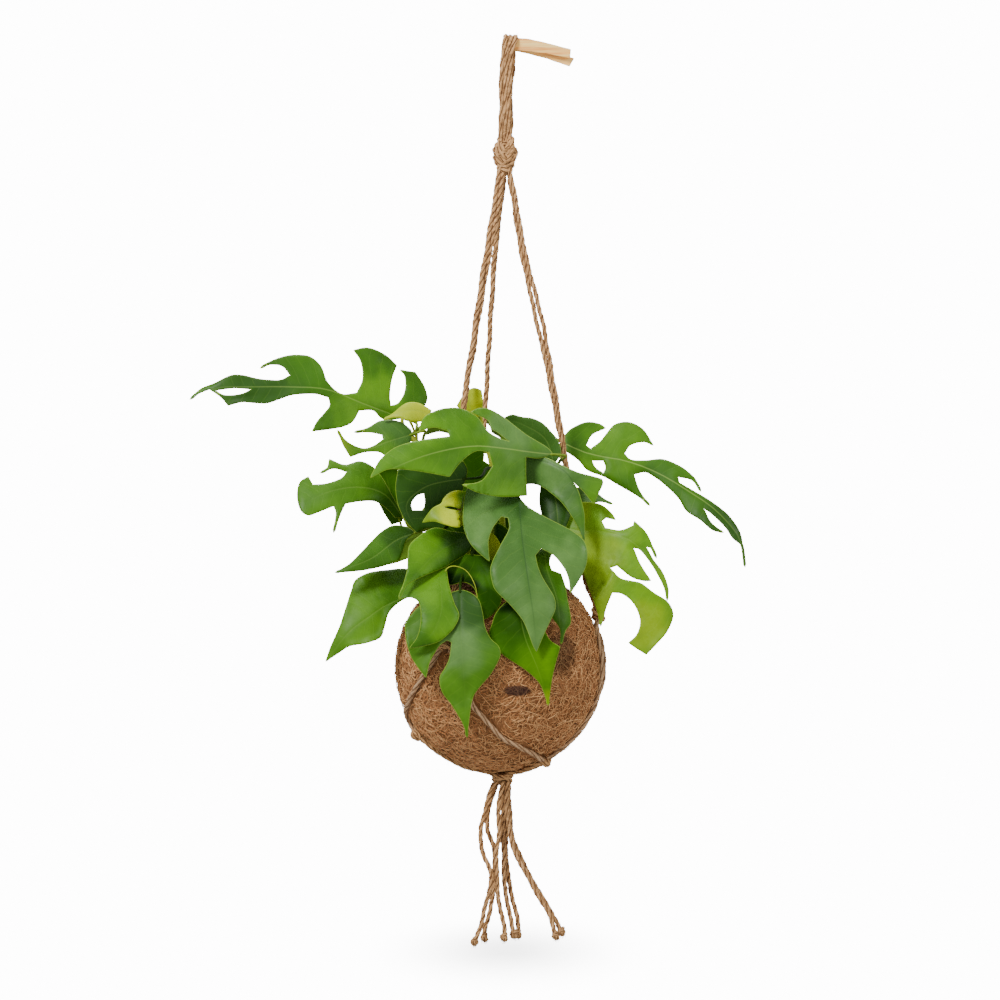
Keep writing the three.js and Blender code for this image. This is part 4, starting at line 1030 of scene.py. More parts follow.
def soil_finish():
    soil = Finish("soil", Roughness=0.95, Specular_IOR_Level=0.15)
    tone = soil.mark("tone")
    fine = soil.noise(soil.place(), 700.0, 5.0)
    earth = soil.mix(fine.between(0.3, 0.7), colour(38, 27, 20), colour(88, 64, 46))
    return soil.set(Base_Color=soil.mix(tone.between(0.6, 1.0), earth, colour(150, 112, 76)),
                    Normal=soil.bump(fine, 0.001, 0.9))


SOIL = soil_finish()

# %% Soil mound
mound = Pile()
reach = np.linspace(0, 1, 26)
dome = np.stack([reach * (MOUTH_RADIUS - 2 * MM), -reach**2 * SOIL_DROP], 1)
under = np.stack([(1 - reach) * (MOUTH_RADIUS - 2 * MM), np.full(26, -SOIL_DEPTH)], 1)
disc = np.vstack([dome[1:], under[:-1]])
add_lathe(mound, disc, 90, np.array([BALL[0], 0, SOIL_TOP]), 0.7 * MM, tone=0.2)
mound.piece("soil_mound", SOIL, "soil", "potting_soil")
print("soil mound of", mound.count, "points")

# %% Crumbs
crumbs = Pile()
ball_of = bmesh.new()
bmesh.ops.create_icosphere(ball_of, subdivisions=1, radius=1.0)
crumb_points = np.array([v.co for v in ball_of.verts])
crumb_faces = np.array([[v.index for v in f.verts] for f in ball_of.faces])
ball_of.free()
for _ in range(CRUMBS):
    r, turn = (MOUTH_RADIUS - 3 * MM) * math.sqrt(rng.random()), rng.uniform(0, 2 * np.pi)
    place = [BALL[0] + r * math.cos(turn), r * math.sin(turn),
             SOIL_TOP - (r / MOUTH_RADIUS) ** 2 * SOIL_DROP + rng.uniform(-0.4, 0.5) * MM]
    rough = crumb_points * rng.uniform(0.7, 1.25, (len(crumb_points), 1)) * rng.uniform(0.5, 1.5) * MM
    crumbs.add(rough * rng.uniform(0.6, 1.2, 3) + place, [crumb_faces], tone=rng.random() ** 2)
crumbs.piece("soil_crumbs", SOIL, "soil")
print("soil with", CRUMBS, "crumbs")

# %% [markdown]
# ## Leaves
#
# Each leaf is cut deeply into lobes, as this plant's grown leaves are. The solid already has the
# true outline and the true bend, with coarse facets. The outline is read from the solid's front
# face, its long edges are made smooth again, and the blade is filled with small triangles whose
# rows follow the midrib. The bend is then a formula of the place along the rib and beside it, so
# the fine leaf lies along its solid. Its rim is moved out by less than half a millimetre, and
# more at thin tips, which the coarse outline makes thinner than they are. To this come a raised
# midrib, soft waves at the margin, and the slight quilting between side veins that breaks up
# the gloss.

# %% Leaf shapes: rib, then depth at the base and tip, arch, tilt and fold
SHAPES = {
    "upper_left": ("-89,-326 -124,-313 -155,-301 -185,-299 -219,-299 -249,-300 -272,-310",
                   2, -30, -8, -0.35, 0.12),
    "upper_right": ("49,-347 67,-355 84,-359 101,-362 119,-368 136,-376 157,-389 176,-402"
                    " 192,-418 200,-430 204,-454", 9, -30, 10, 0.3, 0.12),
    "top_front": ("39,-357 20,-355 -2,-352 -28,-350 -66,-357 -116,-377", -42, -104, -8, -0.35, 0.18),
    "right_front": ("9,-359 35,-364 51,-373 60,-390 66,-431", -36, -62, -6, 0, 0.25),
    "centre": ("10,-393 13,-430 18,-465 23,-499 25,-525", -56, -104, -12, 0.15, 0.1),
    "over_ball": ("-40,-473 -39,-516 -36,-559 -34,-597", -88, -100, -8, -0.1, 0.06),
    "left_hook": ("-59,-450 -56,-473 -57,-495 -66,-512 -83,-522", -66, -100, -16, 0, 0.12),
    "curled": ("-30,-442 -18,-461 -15,-475 -20,-490 -33,-499", -60, -82, -7, 0, 0.1),
    "low_left": ("-78,-471 -92,-481 -105,-487 -118,-496 -134,-508 -155,-534", -34, -52, -12, -0.3, 0.2),
    "front_left": ("-32,-428 -53,-437 -71,-452 -92,-480", -53, -98, -3, 0, 0.16),
    "mid_left": ("-78,-424 -94,-430 -116,-446 -147,-458", -36, -62, -4, -0.4, 0.15),
    "left_lobed": ("-89,-411 -105,-391 -126,-385 -152,-389 -175,-400", -30, -66, -6, -0.45, 0.1),
    "upper_twist": ("-82,-340 -102,-346 -122,-353 -135,-350 -145,-336", -26, -52, 0, -0.4, 0),
    "young_left": ("-65,-323 -82,-319 -106,-327", -18, -30, -3, -0.5, 0.2),
    "young_top": ("-28,-328 -32,-314 -28,-300", -10, -22, -2, 0.3, 0.3),
    "young_front": ("-31,-396 -45,-393 -58,-402 -72,-415", -44, -82, -14, -0.35, 0.05),
    "shade_left": ("-36,-378 -52,-380 -70,-385 -86,-400 -77,-424", -51, -57, -1, 0, 0.04),
    "right_bright": ("43,-417 58,-422 81,-423 106,-431 125,-452 137,-482", -26, -52, -6, 0.2, 0.1),
    "under_centre": ("9,-480 15,-512 27,-542 35,-571", -80, -92, -8, 0, 0.12),
    "small_right": ("32,-437 34,-455 43,-482 46,-519", -62, -80, -6, 0.3, 0.2),
    "shade_middle": ("-8,-439 -16,-422 -25,-400 -30,-351", 14, 18, 0, 0, 0.08),
    "tucked_left": ("-92,-414 -98,-397 -105,-368", -21, -25, 2, 0, 0.1),
    "tucked_middle": ("-26,-428 -42,-424 -62,-408", -50.4, -51.4, 0, 0, 0),
    "tucked_window": ("-10,-416 -10,-430 -10,-446 -10,-454", -30, -34, 0, 0, 0.1),
    "tucked_bud": ("-12,-424 -12,-432 -13,-440 -15,-450", -50, -52, 0, 0, 0.2),
    "shade_right": ("39,-380 42,-398 45,-429", -23, -36, 0, 0, 0.05),
    "behind_top": ("40,-364 33,-344 15,-332 -3,-326", -24, -32, 0, 0.3, 0.15),
}
print("leaf shapes:", len(SHAPES))

# %% Leaves: shape, slot, main colour, and how the back ones are turned, moved and sized
# DARK is a dark leaf green, and as the main colour of leaves deep in the bunch it is also painted shade.
MID, GREY, DARK, SOFT = (56, 102, 0), (64, 103, 36), (36, 74, 0), (68, 114, 4)
FRESH, YELLOW, LIGHT = (102, 148, 0), (180, 194, 4), (80, 128, 0)
LEAVES = {
    "leaf_01": ("upper_left", "leaf_green", MID), "leaf_02": ("upper_right", "leaf_green", MID),
    "leaf_03": ("top_front", "leaf_green", SOFT), "leaf_04": ("right_front", "leaf_grey", GREY),
    "leaf_05": ("centre", "leaf_grey", GREY), "leaf_06": ("over_ball", "leaf_green", SOFT),
    "leaf_07": ("left_hook", "leaf_green", MID), "leaf_08": ("curled", "leaf_green", MID),
    "leaf_09": ("low_left", "leaf_bright", LIGHT), "leaf_10": ("front_left", "leaf_green", MID),
    "leaf_11": ("mid_left", "leaf_green", MID), "leaf_12": ("left_lobed", "leaf_green", SOFT),
    "leaf_13": ("upper_twist", "leaf_green", GREY), "leaf_14": ("young_left", "leaf_young", YELLOW),
    "leaf_15": ("young_top", "leaf_young", YELLOW), "leaf_16": ("young_front", "leaf_young", YELLOW),
    "leaf_17": ("shade_left", "leaf_grey", DARK), "leaf_18": ("right_bright", "leaf_bright", FRESH),
    "leaf_19": ("under_centre", "leaf_green", MID), "leaf_20": ("small_right", "leaf_green", MID),
    "leaf_21": ("shade_right", "leaf_grey", DARK), "leaf_22": ("behind_top", "leaf_grey", GREY),
    "leaf_23": ("over_ball", "leaf_green", MID, 180, (8, 0, 0), 1),
    "leaf_24": ("front_left", "leaf_grey", GREY, 180, (0, 0, 0), -1),
    "leaf_25": ("under_centre", "leaf_bright", FRESH, 180, (8, -16, 0), 1),
    "leaf_26": ("top_front", "leaf_green", MID, 180, (0, 0, -26), -0.93),
    "leaf_27": ("mid_left", "leaf_green", LIGHT, 180, (0, 0, -43), -0.9),
    "leaf_28": ("young_left", "leaf_grey", GREY, 0, (-2, 32, -72.5), -1),
    "leaf_29": ("shade_middle", "leaf_grey", DARK),
}
print("leaves to make:", len(LEAVES))

# %% How pale (above 0) or dark (below 0) the ribs are, and second colours on parts of a leaf
PLAIN_RIB = 0.2
RIB_TONE = {"leaf_01": 0.3, "leaf_02": 0.4, "leaf_03": 0.4, "leaf_04": -0.4, "leaf_05": -0.6,
            "leaf_06": 0.08, "leaf_07": 0.1, "leaf_08": 0.0, "leaf_10": 0.1, "leaf_29": 0.1}
# Each second colour: the colour, its x and z, and how far it reaches, in millimetres.
# Most second colours are painted light and shade. The dark patches paint shade where a leaf lies under others
# or turns from the lamps, the light and yellow-green ones paint light on lit parts, and the grey-green one is
# partly the leaf's own colour and partly painted sheen.
GREY_SHEEN, SHADE_GREEN, TIP, INNER_SHADE = (84, 122, 56), (32, 70, 0), (126, 156, 0), (10, 34, 0)
TINTS = {
    "leaf_01": [(LIGHT, -120, -316, 26), (DARK, -215, -306, 34), (LIGHT, -100, -300, 14)],
    "leaf_02": [(LIGHT, 96, -346, 26), (MID, 150, -380, 26), (LIGHT, 66, -372, 14), (DARK, 190, -420, 26)],
    "leaf_03": [(LIGHT, -92, -392, 34), (LIGHT, 2, -404, 24), (GREY_SHEEN, 70, -372, 42), (GREY_SHEEN, 6, -332, 24),
                (LIGHT, -70, -338, 16)],
    "leaf_04": [(LIGHT, 84, -402, 24), (GREY_SHEEN, 40, -372, 16)],
    "leaf_05": [(SHADE_GREEN, 8, -393, 15), (GREY_SHEEN, 28, -500, 34), (GREY_SHEEN, -22, -420, 16), (GREY_SHEEN, 52, -450, 18)],
    "leaf_06": [(INNER_SHADE, -36, -478, 22), (SHADE_GREEN, -32, -492, 26), (GREY_SHEEN, -38, -522, 18), (LIGHT, -34, -590, 16)],
    "leaf_07": [(DARK, -46, -450, 22), (LIGHT, -66, -470, 22), (LIGHT, -54, -505, 14)],
    "leaf_08": [(INNER_SHADE, -50, -463, 11), (INNER_SHADE, -40, -462, 10), (INNER_SHADE, -32, -468, 7), (DARK, -18, -446, 12),
                (SHADE_GREEN, -14, -482, 10)],
    "leaf_09": [(MID, -84, -474, 26), (LIGHT, -140, -520, 20)],
    "leaf_10": [(DARK, -40, -432, 22), (LIGHT, -70, -440, 16), (LIGHT, -88, -474, 14)],
    "leaf_11": [(DARK, -84, -428, 20)],
    "leaf_12": [(DARK, -92, -402, 22)],
    "leaf_13": [(TIP, -139, -348, 18), (LIGHT, -118, -352, 20)],
    "leaf_16": [(LIGHT, -34, -398, 8), (TIP, -66, -414, 10)],
    "leaf_18": [(TIP, 72, -446, 24), (TIP, 74, -484, 20), (LIGHT, 122, -436, 14), (TIP, 118, -505, 20),
                (TIP, 60, -400, 14)],
    "leaf_19": [(DARK, 4, -490, 24), (INNER_SHADE, -6, -482, 9), (LIGHT, 30, -545, 22), (TIP, 34, -568, 6)],
    "leaf_20": [(LIGHT, 32, -444, 12), (MID, 48, -480, 20)],
}
print("leaves with second colours:", len(TINTS))


# %% The placement of a leaf, and its rib
SOFT_FOLD = 6 * MM


class Leaf:
    """Where a leaf lies, how it bends, and its main colour."""

    def __init__(self, node, shape, slot, main, turn=0, move=(0, 0, 0), size=1):
        rib, *self.depths = SHAPES[shape]
        self.node, self.slot, self.main = node, slot, main
        self.rib = smooth(read_points(rib), count=20, samples=40)
        self.sign = math.cos(math.radians(turn))
        self.move, self.size = np.array(move) * MM, np.array([size, abs(size), abs(size)])

    def home(self, points):
        """A back leaf's points, turned and moved to where its shape was drawn."""
        points = (points - [BALL[0], 0, 0]) * [self.sign, self.sign, 1]
        return (points - self.move) / self.size + [BALL[0], 0, 0]

    def placed(self, points):
        points = (points - [BALL[0], 0, 0]) * self.size + self.move
        return points * [self.sign, self.sign, 1] + [BALL[0], 0, 0]

    def beside_rib(self, flat):
        """Place along the rib, 0 to 1, and signed distance beside it, for x and z places."""
        from_, step = self.rib[:-1], np.diff(self.rib, axis=0)
        size = (step**2).sum(1)
        t = ((flat[:, None] - from_) * step).sum(2) / size
        low, high = np.zeros(len(step)), np.ones(len(step))
        low[0], high[-1] = -3, 4         # the first and last steps go on past the rib's ends
        t = np.clip(t, low, high)
        gap = flat[:, None] - from_ - t[:, :, None] * step
        away = np.linalg.norm(gap, axis=2)
        best = away.argmin(1)
        row = np.arange(len(flat))
        offset = flat - from_[best]
        side = np.sign(step[best, 0] * offset[:, 1] - step[best, 1] * offset[:, 0])
        return (best + t[row, best]) / len(step), side * away[row, best]

    def depth(self, flat):
        base, tip, arch, tilt, fold = self.depths
        along, across = self.beside_rib(flat)
        lift = np.hypot(across, SOFT_FOLD) - SOFT_FOLD
        bulge = 4 * arch * along * (1 - along)
        return (base + (tip - base) * along + bulge) * MM + tilt * across + fold * lift


# %% [markdown]
# ### From a coarse leaf to a fine one
#
# The solid's front face is the leaf's outline filled with a few large triangles. A side that only
# one of them has is a piece of the outline, and such sides join into loops. Between two sharp
# corners the outline is made a smooth line, while the corners stay sharp, because the lobes'
# tips and the deep cuts between them are what makes this plant's leaf.

# %% The outline of a leaf, from its solid
def merged(mesh):
    """The points and triangles of a mesh, with points at one place made one."""
    points = np.empty(len(mesh.vertices) * 3)
    mesh.vertices.foreach_get("co", points)
    points = points.reshape(-1, 3)
    kept, name = np.unique(np.round(points / MM, 3), axis=0, return_inverse=True)
    mesh.calc_loop_triangles()
    faces = np.array([triangle.vertices for triangle in mesh.loop_triangles])
    return kept * MM, name.ravel()[faces]


def open_sides(faces):
    """The sides that only one triangle has."""
    sides = {(a, b) for face in faces for a, b in zip(face, np.roll(face, -1))}
    return [(a, b) for a, b in sides if (b, a) not in sides]


def outline_loops(leaf):
    """The outline of the solid's front face, and of any holes in it, as x and z."""
    points, faces = merged(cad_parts[leaf.node].data)
    points = leaf.home(points)
    flat = points[:, [0, 2]]
    front = points[:, 1] < leaf.depth(flat)
    ahead = dict(open_sides(faces[front[faces].all(1)]))
    loops = []
    while ahead:
        start, after = ahead.popitem()
        loop = [start]
        while after != start:
            loop.append(after)
            after = ahead.pop(after)
        loops.append(flat[loop])
    return loops


# %% A smooth outline that keeps its corners
CORNER = math.radians(48)
EDGE_STEP = 1.3 * MM


def smooth_loop(loop):
    """A spline from each sharp corner to the next."""
    before, after = np.roll(loop, 1, axis=0), np.roll(loop, -1, axis=0)
    come, go = loop - before, after - loop
    bend = abs(np.arctan2(come[:, 0] * go[:, 1] - come[:, 1] * go[:, 0], (come * go).sum(1)))
    corners = np.flatnonzero(bend > CORNER)
    if not len(corners):
        corners = np.array([0])
    runs = []
    for first, last in zip(corners, np.append(corners[1:], corners[0] + len(loop))):
        run = loop[np.arange(first, last + 1) % len(loop)]
        line = smooth(run, EDGE_STEP) if len(run) > 2 else spaced(run, EDGE_STEP)
        runs.append(line[:-1])
    return np.concatenate(runs)


# %% Room for thin tips
TIP_ROOM, TIP_WIDTH = 0.4 * MM, 2.0 * MM


def widened(loops):
    """The loops moved out a little, so that a long thin tip keeps a width that shows."""
    x, z = max(loops, key=len).T
    way = np.sign((x * np.roll(z, -1) - np.roll(x, -1) * z).sum())
    grown = []
    for loop in loops:
        ahead = np.roll(loop, -1, axis=0) - np.roll(loop, 1, axis=0)
        out = unit(np.stack([ahead[:, 1], -ahead[:, 0]], 1) * way)
        gap = loop - loop[:, None]
        number = np.arange(len(loop))
        steps = abs(number - number[:, None])
        across = (np.minimum(steps, len(loop) - steps) > 2) & ((gap * out[:, None]).sum(2) < 0)
        width = np.where(across, np.linalg.norm(gap, axis=2), TIP_WIDTH).min(1)
        room = TIP_ROOM + np.maximum(TIP_WIDTH - width, 0) / 2
        grown.append(loop + out * room[:, None])
    return grown


# %% Inside an outline, and how near
NEAR_ROWS = 500                          # how many are measured at a time


def in_loops(flat, loops):
    """True where a ray to the right crosses the loops an odd number of times."""
    crossed = np.zeros(len(flat), bool)
    for loop in loops:
        for (ax, az), (bx, bz) in zip(loop, np.roll(loop, -1, axis=0)):
            if az != bz:
                span = (az > flat[:, 1]) != (bz > flat[:, 1])
                crossed ^= span & (flat[:, 0] < ax + (flat[:, 1] - az) / (bz - az) * (bx - ax))
    return crossed


def nearest(flat, targets):
    """How far each place is from the nearest target."""
    parts = np.array_split(flat, 1 + len(flat) // NEAR_ROWS)
    return np.concatenate([np.linalg.norm(some[:, None] - targets, axis=2).min(1) for some in parts])


# %% [markdown]
# ### The blade
#
# The outline is filled by Blender's own triangle finder, with rows of points beside the rib so
# that the crease stays straight. Then each point gets its depth. A leaf is thinner at its rim,
# stands up in a keel under the rib, and is slightly quilted between its side veins.

# %% Filling a blade
GRID, RIB_STEP = 2.1 * MM, 1.4 * MM
RIB_ROWS = (-1.9, -0.9, 0, 0.9, 1.9)
PER_METRE = 1000                         # the triangles are found in millimetres
RIM_TO_ROWS, RIM_TO_GRID, ROWS_TO_GRID = 0.6 * MM, 0.75 * MM, 0.9 * MM


def fill(leaf, loops):
    """Triangles inside the loops: rows beside the rib, and an even grid elsewhere."""
    rim = np.concatenate(loops)
    low, high = rim.min(0), rim.max(0)
    xs, zs = np.arange(low[0], high[0], GRID), np.arange(low[1], high[1], GRID * 0.87)
    grid = np.stack(np.meshgrid(xs, zs), -1)
    grid[1::2, :, 0] += GRID / 2
    rib = spaced(leaf.rib, RIB_STEP)
    across = np.stack([-np.gradient(rib[:, 1]), np.gradient(rib[:, 0])], 1)
    rows = np.concatenate([rib + unit(across) * row * MM for row in RIB_ROWS])
    rows = rows[in_loops(rows, loops) & (nearest(rows, rim) > RIM_TO_ROWS)]
    grid = grid.reshape(-1, 2)
    grid = grid[in_loops(grid, loops)]
    grid = grid[(nearest(grid, rim) > RIM_TO_GRID) & (nearest(grid, rows) > ROWS_TO_GRID)]
    points = np.concatenate([rim, rows, grid])
    edges, first = [], 0
    for loop in loops:
        edges += [(first + i, first + (i + 1) % len(loop)) for i in range(len(loop))]
        first += len(loop)
    made = delaunay_2d_cdt([Vector(p) for p in points * PER_METRE], edges, [], 0, 1e-4)
    points = np.array(made[0]) / PER_METRE
    faces = np.array(made[2])
    faces = faces[in_loops(points[faces].mean(1), loops)]
    used, name = np.unique(faces, return_inverse=True)
    return points[used], name.reshape(-1, 3), rim


# %% The face and the back of a blade
HALF_BLADE = 0.36 * MM
VEIN_GAP = 9.5                           # millimetres from one side vein to the next


def eased(size, over):
    """0 at no size and 1 from over on."""
    return np.clip(size / (over * MM), 0, 1)


def ridge(across, wide):
    """1 on the rib, falling to both sides."""
    return np.exp(-(across / (wide * MM)) ** 2)


def blade_depths(leaf, flat, edge, along, across, vein, seed):
    """The bend with its waves, quilting and crease, and half a blade each way. The back has a keel."""
    spot = np.stack([flat[:, 0], 0 * edge, flat[:, 1]], 1)
    wave = ripples(spot, 5, 30 * MM, seed) * np.exp(-edge / (7 * MM)) * 0.9 * MM
    swell = ripples(spot, 4, 66 * MM, seed + 1) * 1.1 * MM * eased(edge, 5)
    quilt = np.cos(vein / (VEIN_GAP * MM) * 2 * np.pi) * 0.05 * MM * eased(abs(across), 8) * eased(edge, 4)
    crease = ridge(across, 1.3) * 0.28 * MM * np.clip(1.15 - along, 0, 1)
    middle = leaf.depth(flat) + wave + swell + quilt + crease
    half = HALF_BLADE * (0.28 + 0.72 * np.sqrt(eased(edge, 1.4)))
    keel = ridge(across, 0.9) * 0.75 * MM * np.clip(1.1 - along, 0, 1) * eased(edge, 2)
    return middle - half, middle + (half + keel)


def painted(leaf, flat, seed):
    """The leaf's main colour, with its second colours in soft ragged patches, mostly painted light and shade.
    """
    paint = np.tile(colour(*leaf.main), (len(flat), 1))
    spot = np.stack([flat[:, 0], 0 * flat[:, 0], flat[:, 1]], 1)
    for tint, x, z, reach in TINTS.get(leaf.node, []):
        gap = np.linalg.norm(flat / MM - [x, z], axis=1) + 3 * ripples(spot, 4, 20 * MM, seed + 2)
        share = np.clip(1.5 - gap / reach, 0, 1)[:, None]
        share = share * share * (3 - 2 * share)
        paint = paint * (1 - share) + np.array(colour(*tint)) * share
    return paint


# %% A leaf in full
def closed_blade(leaf, flat, faces):
    """The face's triangles, the back's and the rim's walls, all turned to look outwards."""
    count = len(flat)
    a, b = np.array(open_sides(faces)).T
    shapes = [faces, faces[:, ::-1] + count, np.stack([a, a + count, b + count, b], 1)]
    corners = flat[faces]
    first, second = corners[:, 1] - corners[:, 0], corners[:, 2] - corners[:, 0]
    turned = (first[:, 0] * second[:, 1] - first[:, 1] * second[:, 0]).mean() < 0
    mirrored = leaf.size[0] < 0
    return [some[:, ::-1] for some in shapes] if mirrored != turned else shapes


def add_leaf(leaf, seed, outline=None):
    """A leaf in place of its solid, or one of its own where an outline is given."""
    loops = outline_loops(leaf) if outline is None else [outline]
    flat, faces, rim = fill(leaf, widened([smooth_loop(loop) for loop in loops]))
    along, across = leaf.beside_rib(flat)
    edge = nearest(flat, rim)
    length = np.linalg.norm(np.diff(leaf.rib, axis=0), axis=1).sum()
    spot = np.stack([flat[:, 0], 0 * edge, flat[:, 1]], 1)
    vein = along * length - 0.55 * abs(across) + 0.006 * np.sign(across)
    vein += ripples(spot, 3, 40 * MM, seed + 3) * 2 * MM
    depths = blade_depths(leaf, flat, edge, along, across, vein, seed)
    points = np.concatenate([np.stack([flat[:, 0], depth, flat[:, 1]], 1) for depth in depths])
    pile = Pile()
    pile.add(leaf.placed(points), closed_blade(leaf, flat, faces),
             under=np.repeat([0.0, 1.0], len(flat)), edge=np.tile(edge / MM, 2),
             across=np.tile(across / MM, 2), along=np.tile(along, 2), vein=np.tile(vein / MM, 2),
             pale=RIB_TONE.get(leaf.node, PLAIN_RIB))
    nodes = [leaf.node] if outline is None else []
    finish = SHADED_LEAF if leaf.node in IN_SHADE else LEAF
    paint = np.tile(painted(leaf, flat, seed), (2, 1))
    return pile.piece(leaf.node + "_blade", finish, leaf.slot, *nodes, paint=paint)


# %% [markdown]
# ### The leaf surface
#
# A living leaf is waxy: it has a broad, soft gloss over a colour that varies slowly. The midrib
# and the margin are paler, since there is less green tissue there. Side veins show as faint pale
# lines and as shallow furrows. The underside is paler and duller. Leaves deep in the bunch see
# little of the lamps, so theirs is a finish with less gloss.

# %% Leaf finish
PALE_GREEN, FOLD_SHADE_GREEN = colour(140, 176, 60), colour(24, 60, 0)
RIB_PALE, RIB_DARK = colour(150, 182, 84), colour(30, 62, 20)
RIM_GREEN, UNDER_GREEN = colour(150, 180, 62), colour(130, 156, 60)


def leaf_finish(name, shine):
    leaf = Finish(name, Specular_IOR_Level=0.16 * shine, Coat_Roughness=0.3)
    marks = ("edge", "across", "along", "vein", "under", "pale")
    edge, across, along, vein, under, pale = (leaf.mark(mark) for mark in marks)
    place = leaf.place()
    slow, fine = leaf.noise(place, 38.0, 2.0), leaf.noise(place, 420.0, 4.0)
    beside = across.size()
    paint = leaf.mark("paint", "Color")
    varied = leaf.mix(slow.between(0.3, 0.7) * 0.6, paint, colour(190, 205, 170), "MULTIPLY")
    varied = leaf.mix(fine.between(0.4, 0.75) * 0.12, varied, colour(30, 56, 10))
    # Painted shade: the blade is darker within a few millimetres of the midrib, in its fold.
    varied = leaf.mix(beside.between(8.0, 0.0) * 0.16, varied, FOLD_SHADE_GREEN)
    line = ((vein / VEIN_GAP + slow * 0.9).fraction() - 0.5).size().between(0.06, 0.0)
    veined = leaf.mix(line * beside.between(0.5, 3.0) * 0.06, varied, PALE_GREEN)
    on_rib = beside.between(0.8, 0.2) * along.between(1.1, 0.4)
    ribbed = leaf.mix(on_rib * pale.between(0.0, 0.6) * 0.5, veined, RIB_PALE)
    ribbed = leaf.mix(on_rib * pale.between(0.0, -0.6) * 0.5, ribbed, RIB_DARK)
    rimmed = leaf.mix(edge.between(0.85, 0.1) * 0.5, ribbed, RIM_GREEN)
    furrows = leaf.bump(line * -0.3 + fine * 0.35, 0.0005, 0.3)
    return leaf.set(Base_Color=leaf.mix(under * 0.3, rimmed, UNDER_GREEN), Normal=furrows,
                    Roughness=0.44 + fine * 0.14 + under * 0.15,
                    Coat_Weight=(0.06 - under * 0.05) * shine)


LEAF = leaf_finish("leaf", 1.0)
print("nodes in the leaf:", len(LEAF.node_tree.nodes))
SHADED_LEAF = leaf_finish("shaded_leaf", 0.15)
IN_SHADE = ("leaf_08", "leaf_19", "leaf_29", "tucked_left", "tucked_middle", "tucked_window")

# %% The leaves
made_leaves = {}
for seed, (node, facts) in enumerate(LEAVES.items()):
    made_leaves[node] = Leaf(node, *facts)
    piece = add_leaf(made_leaves[node], 300 + seed * 3)
print("leaves:", len(made_leaves), "last has", len(piece.data.polygons), "faces")

# %% [markdown]
# ### Small leaves tucked in
#
# Through the gaps between the large leaves the eye sees parts of others. Left out, the gaps
# would look empty. They have no solid, so their outline is given here by a few points.

# %% Small leaves tucked in behind the others
TUCKED = {
    "tucked_left": (MID, "-111,-366 -95,-368 -89,-394 -90,-414 -99,-417 -107,-404 -114,-386"),
    "tucked_bud": (YELLOW, "-19,-423 -12,-425 -5,-435 -8,-441 -15,-451 -19,-441"),
    "tucked_window": (DARK, "-24,-420 -8,-416 4,-424 2,-446 -12,-456 -22,-446"),
    "tucked_middle": (DARK, "-64,-404 -44,-408 -26,-410 -25,-429 -40,-437 -60,-428"),
}
for seed, (name, (main, text)) in enumerate(TUCKED.items()):
    made_leaves[name] = Leaf(name, name, "leaf_green", main)
    add_leaf(made_leaves[name], 500 + seed * 3, read_points(text))
print("tucked in:", ", ".join(TUCKED))

# %% [markdown]
# ## Stems and stalks
#
# Each leaf stands on a long stalk that springs from a thicker stem. A stalk is widest where it
# clasps the stem, and thin under its leaf. The stalk's path is worked out from the leaf: it comes
# from a place on the stem and arrives along the leaf's own rib. Some stalks go by way of places
# that are given, to pass behind or between other leaves.

# %% Stem finish
def stem_finish():
    stem = Finish("stem", Roughness=0.55, Specular_IOR_Level=0.1)
    tone = stem.mark("tone")
    slow = stem.noise(stem.place(), 90.0, 3.0)
    green = stem.mix(slow.between(0.3, 0.7), colour(76, 108, 22), colour(118, 144, 40))
    shaded = stem.mix(tone.between(0.0, -1.0), green, colour(20, 46, 0))
    return stem.set(Base_Color=stem.mix(tone.between(0.0, 1.0), shaded, colour(182, 188, 60)),
                    Normal=stem.bump(stem.noise(stem.place(), 600.0, 3.0), 0.0004, 0.4))


STEM = stem_finish()
print("nodes in the stem:", len(STEM.node_tree.nodes))

# %% Where the stems and their stalks run
STEMS = {
    "left": "-30,-6,-488 -30,-6,-470 -30,-6,-452 -42,-3,-420 -60,0,-385 -76,2,-352 -84,2,-338",
    "middle": "-8,4,-488 -8,4,-470 -8,4,-452 -4,4,-420 -8,3,-385 -16,2,-355 -20,0,-336",
    "right": "18,-2,-488 18,-2,-470 18.5,-2,-452 29,2,-420 36,6,-390 42,8,-366",
    "front": "-10,-24,-488 -10,-24,-470 -10,-24.5,-452 -13,-31,-432 -16,-35,-412",
    "back": "6,27,-488 6,27,-470 6,27.5,-452 0,34,-425 -8,38,-398 -14,40,-380",
}
# How far up the stem each leaf's stalk leaves it.
STALKS = {
    "left": {"tucked_left": 0.55, "leaf_01": 0.93, "leaf_07": 0.35, "leaf_09": 0.3, "leaf_11": 0.5,
             "leaf_12": 0.62, "leaf_13": 0.86, "leaf_14": 0.98, "leaf_27": 0.45},
    "middle": {"leaf_04": 0.7, "leaf_05": 0.62, "leaf_15": 0.98, "leaf_16": 0.66, "leaf_17": 0.78,
               "leaf_29": 0.26},
    "right": {"leaf_02": 0.97, "leaf_03": 0.9, "leaf_18": 0.55, "leaf_20": 0.4, "leaf_21": 0.8,
              "leaf_22": 0.95, "leaf_26": 0.85, "leaf_28": 0.7},
    "front": {"tucked_middle": 0.8, "tucked_window": 0.95, "tucked_bud": 0.85, "leaf_06": 0.9,
              "leaf_08": 0.75, "leaf_10": 0.97, "leaf_19": 0.42},
    "back": {"leaf_23": 0.45, "leaf_24": 0.8, "leaf_25": 0.6},
}
WAYS = {
    "leaf_06": "-23,-46,-434 -31,-57,-447 -38,-64,-460", "leaf_08": "-18,-42,-434 -27,-55,-438",
    "leaf_09": "-44,-15,-450 -66,-33,-465", "leaf_16": "-12,-13,-392 -24.5,-32,-396",
    "leaf_23": "10,54,-434 16,74,-447 18,86,-460", "leaf_29": "-7.5,9.5,-449",
}
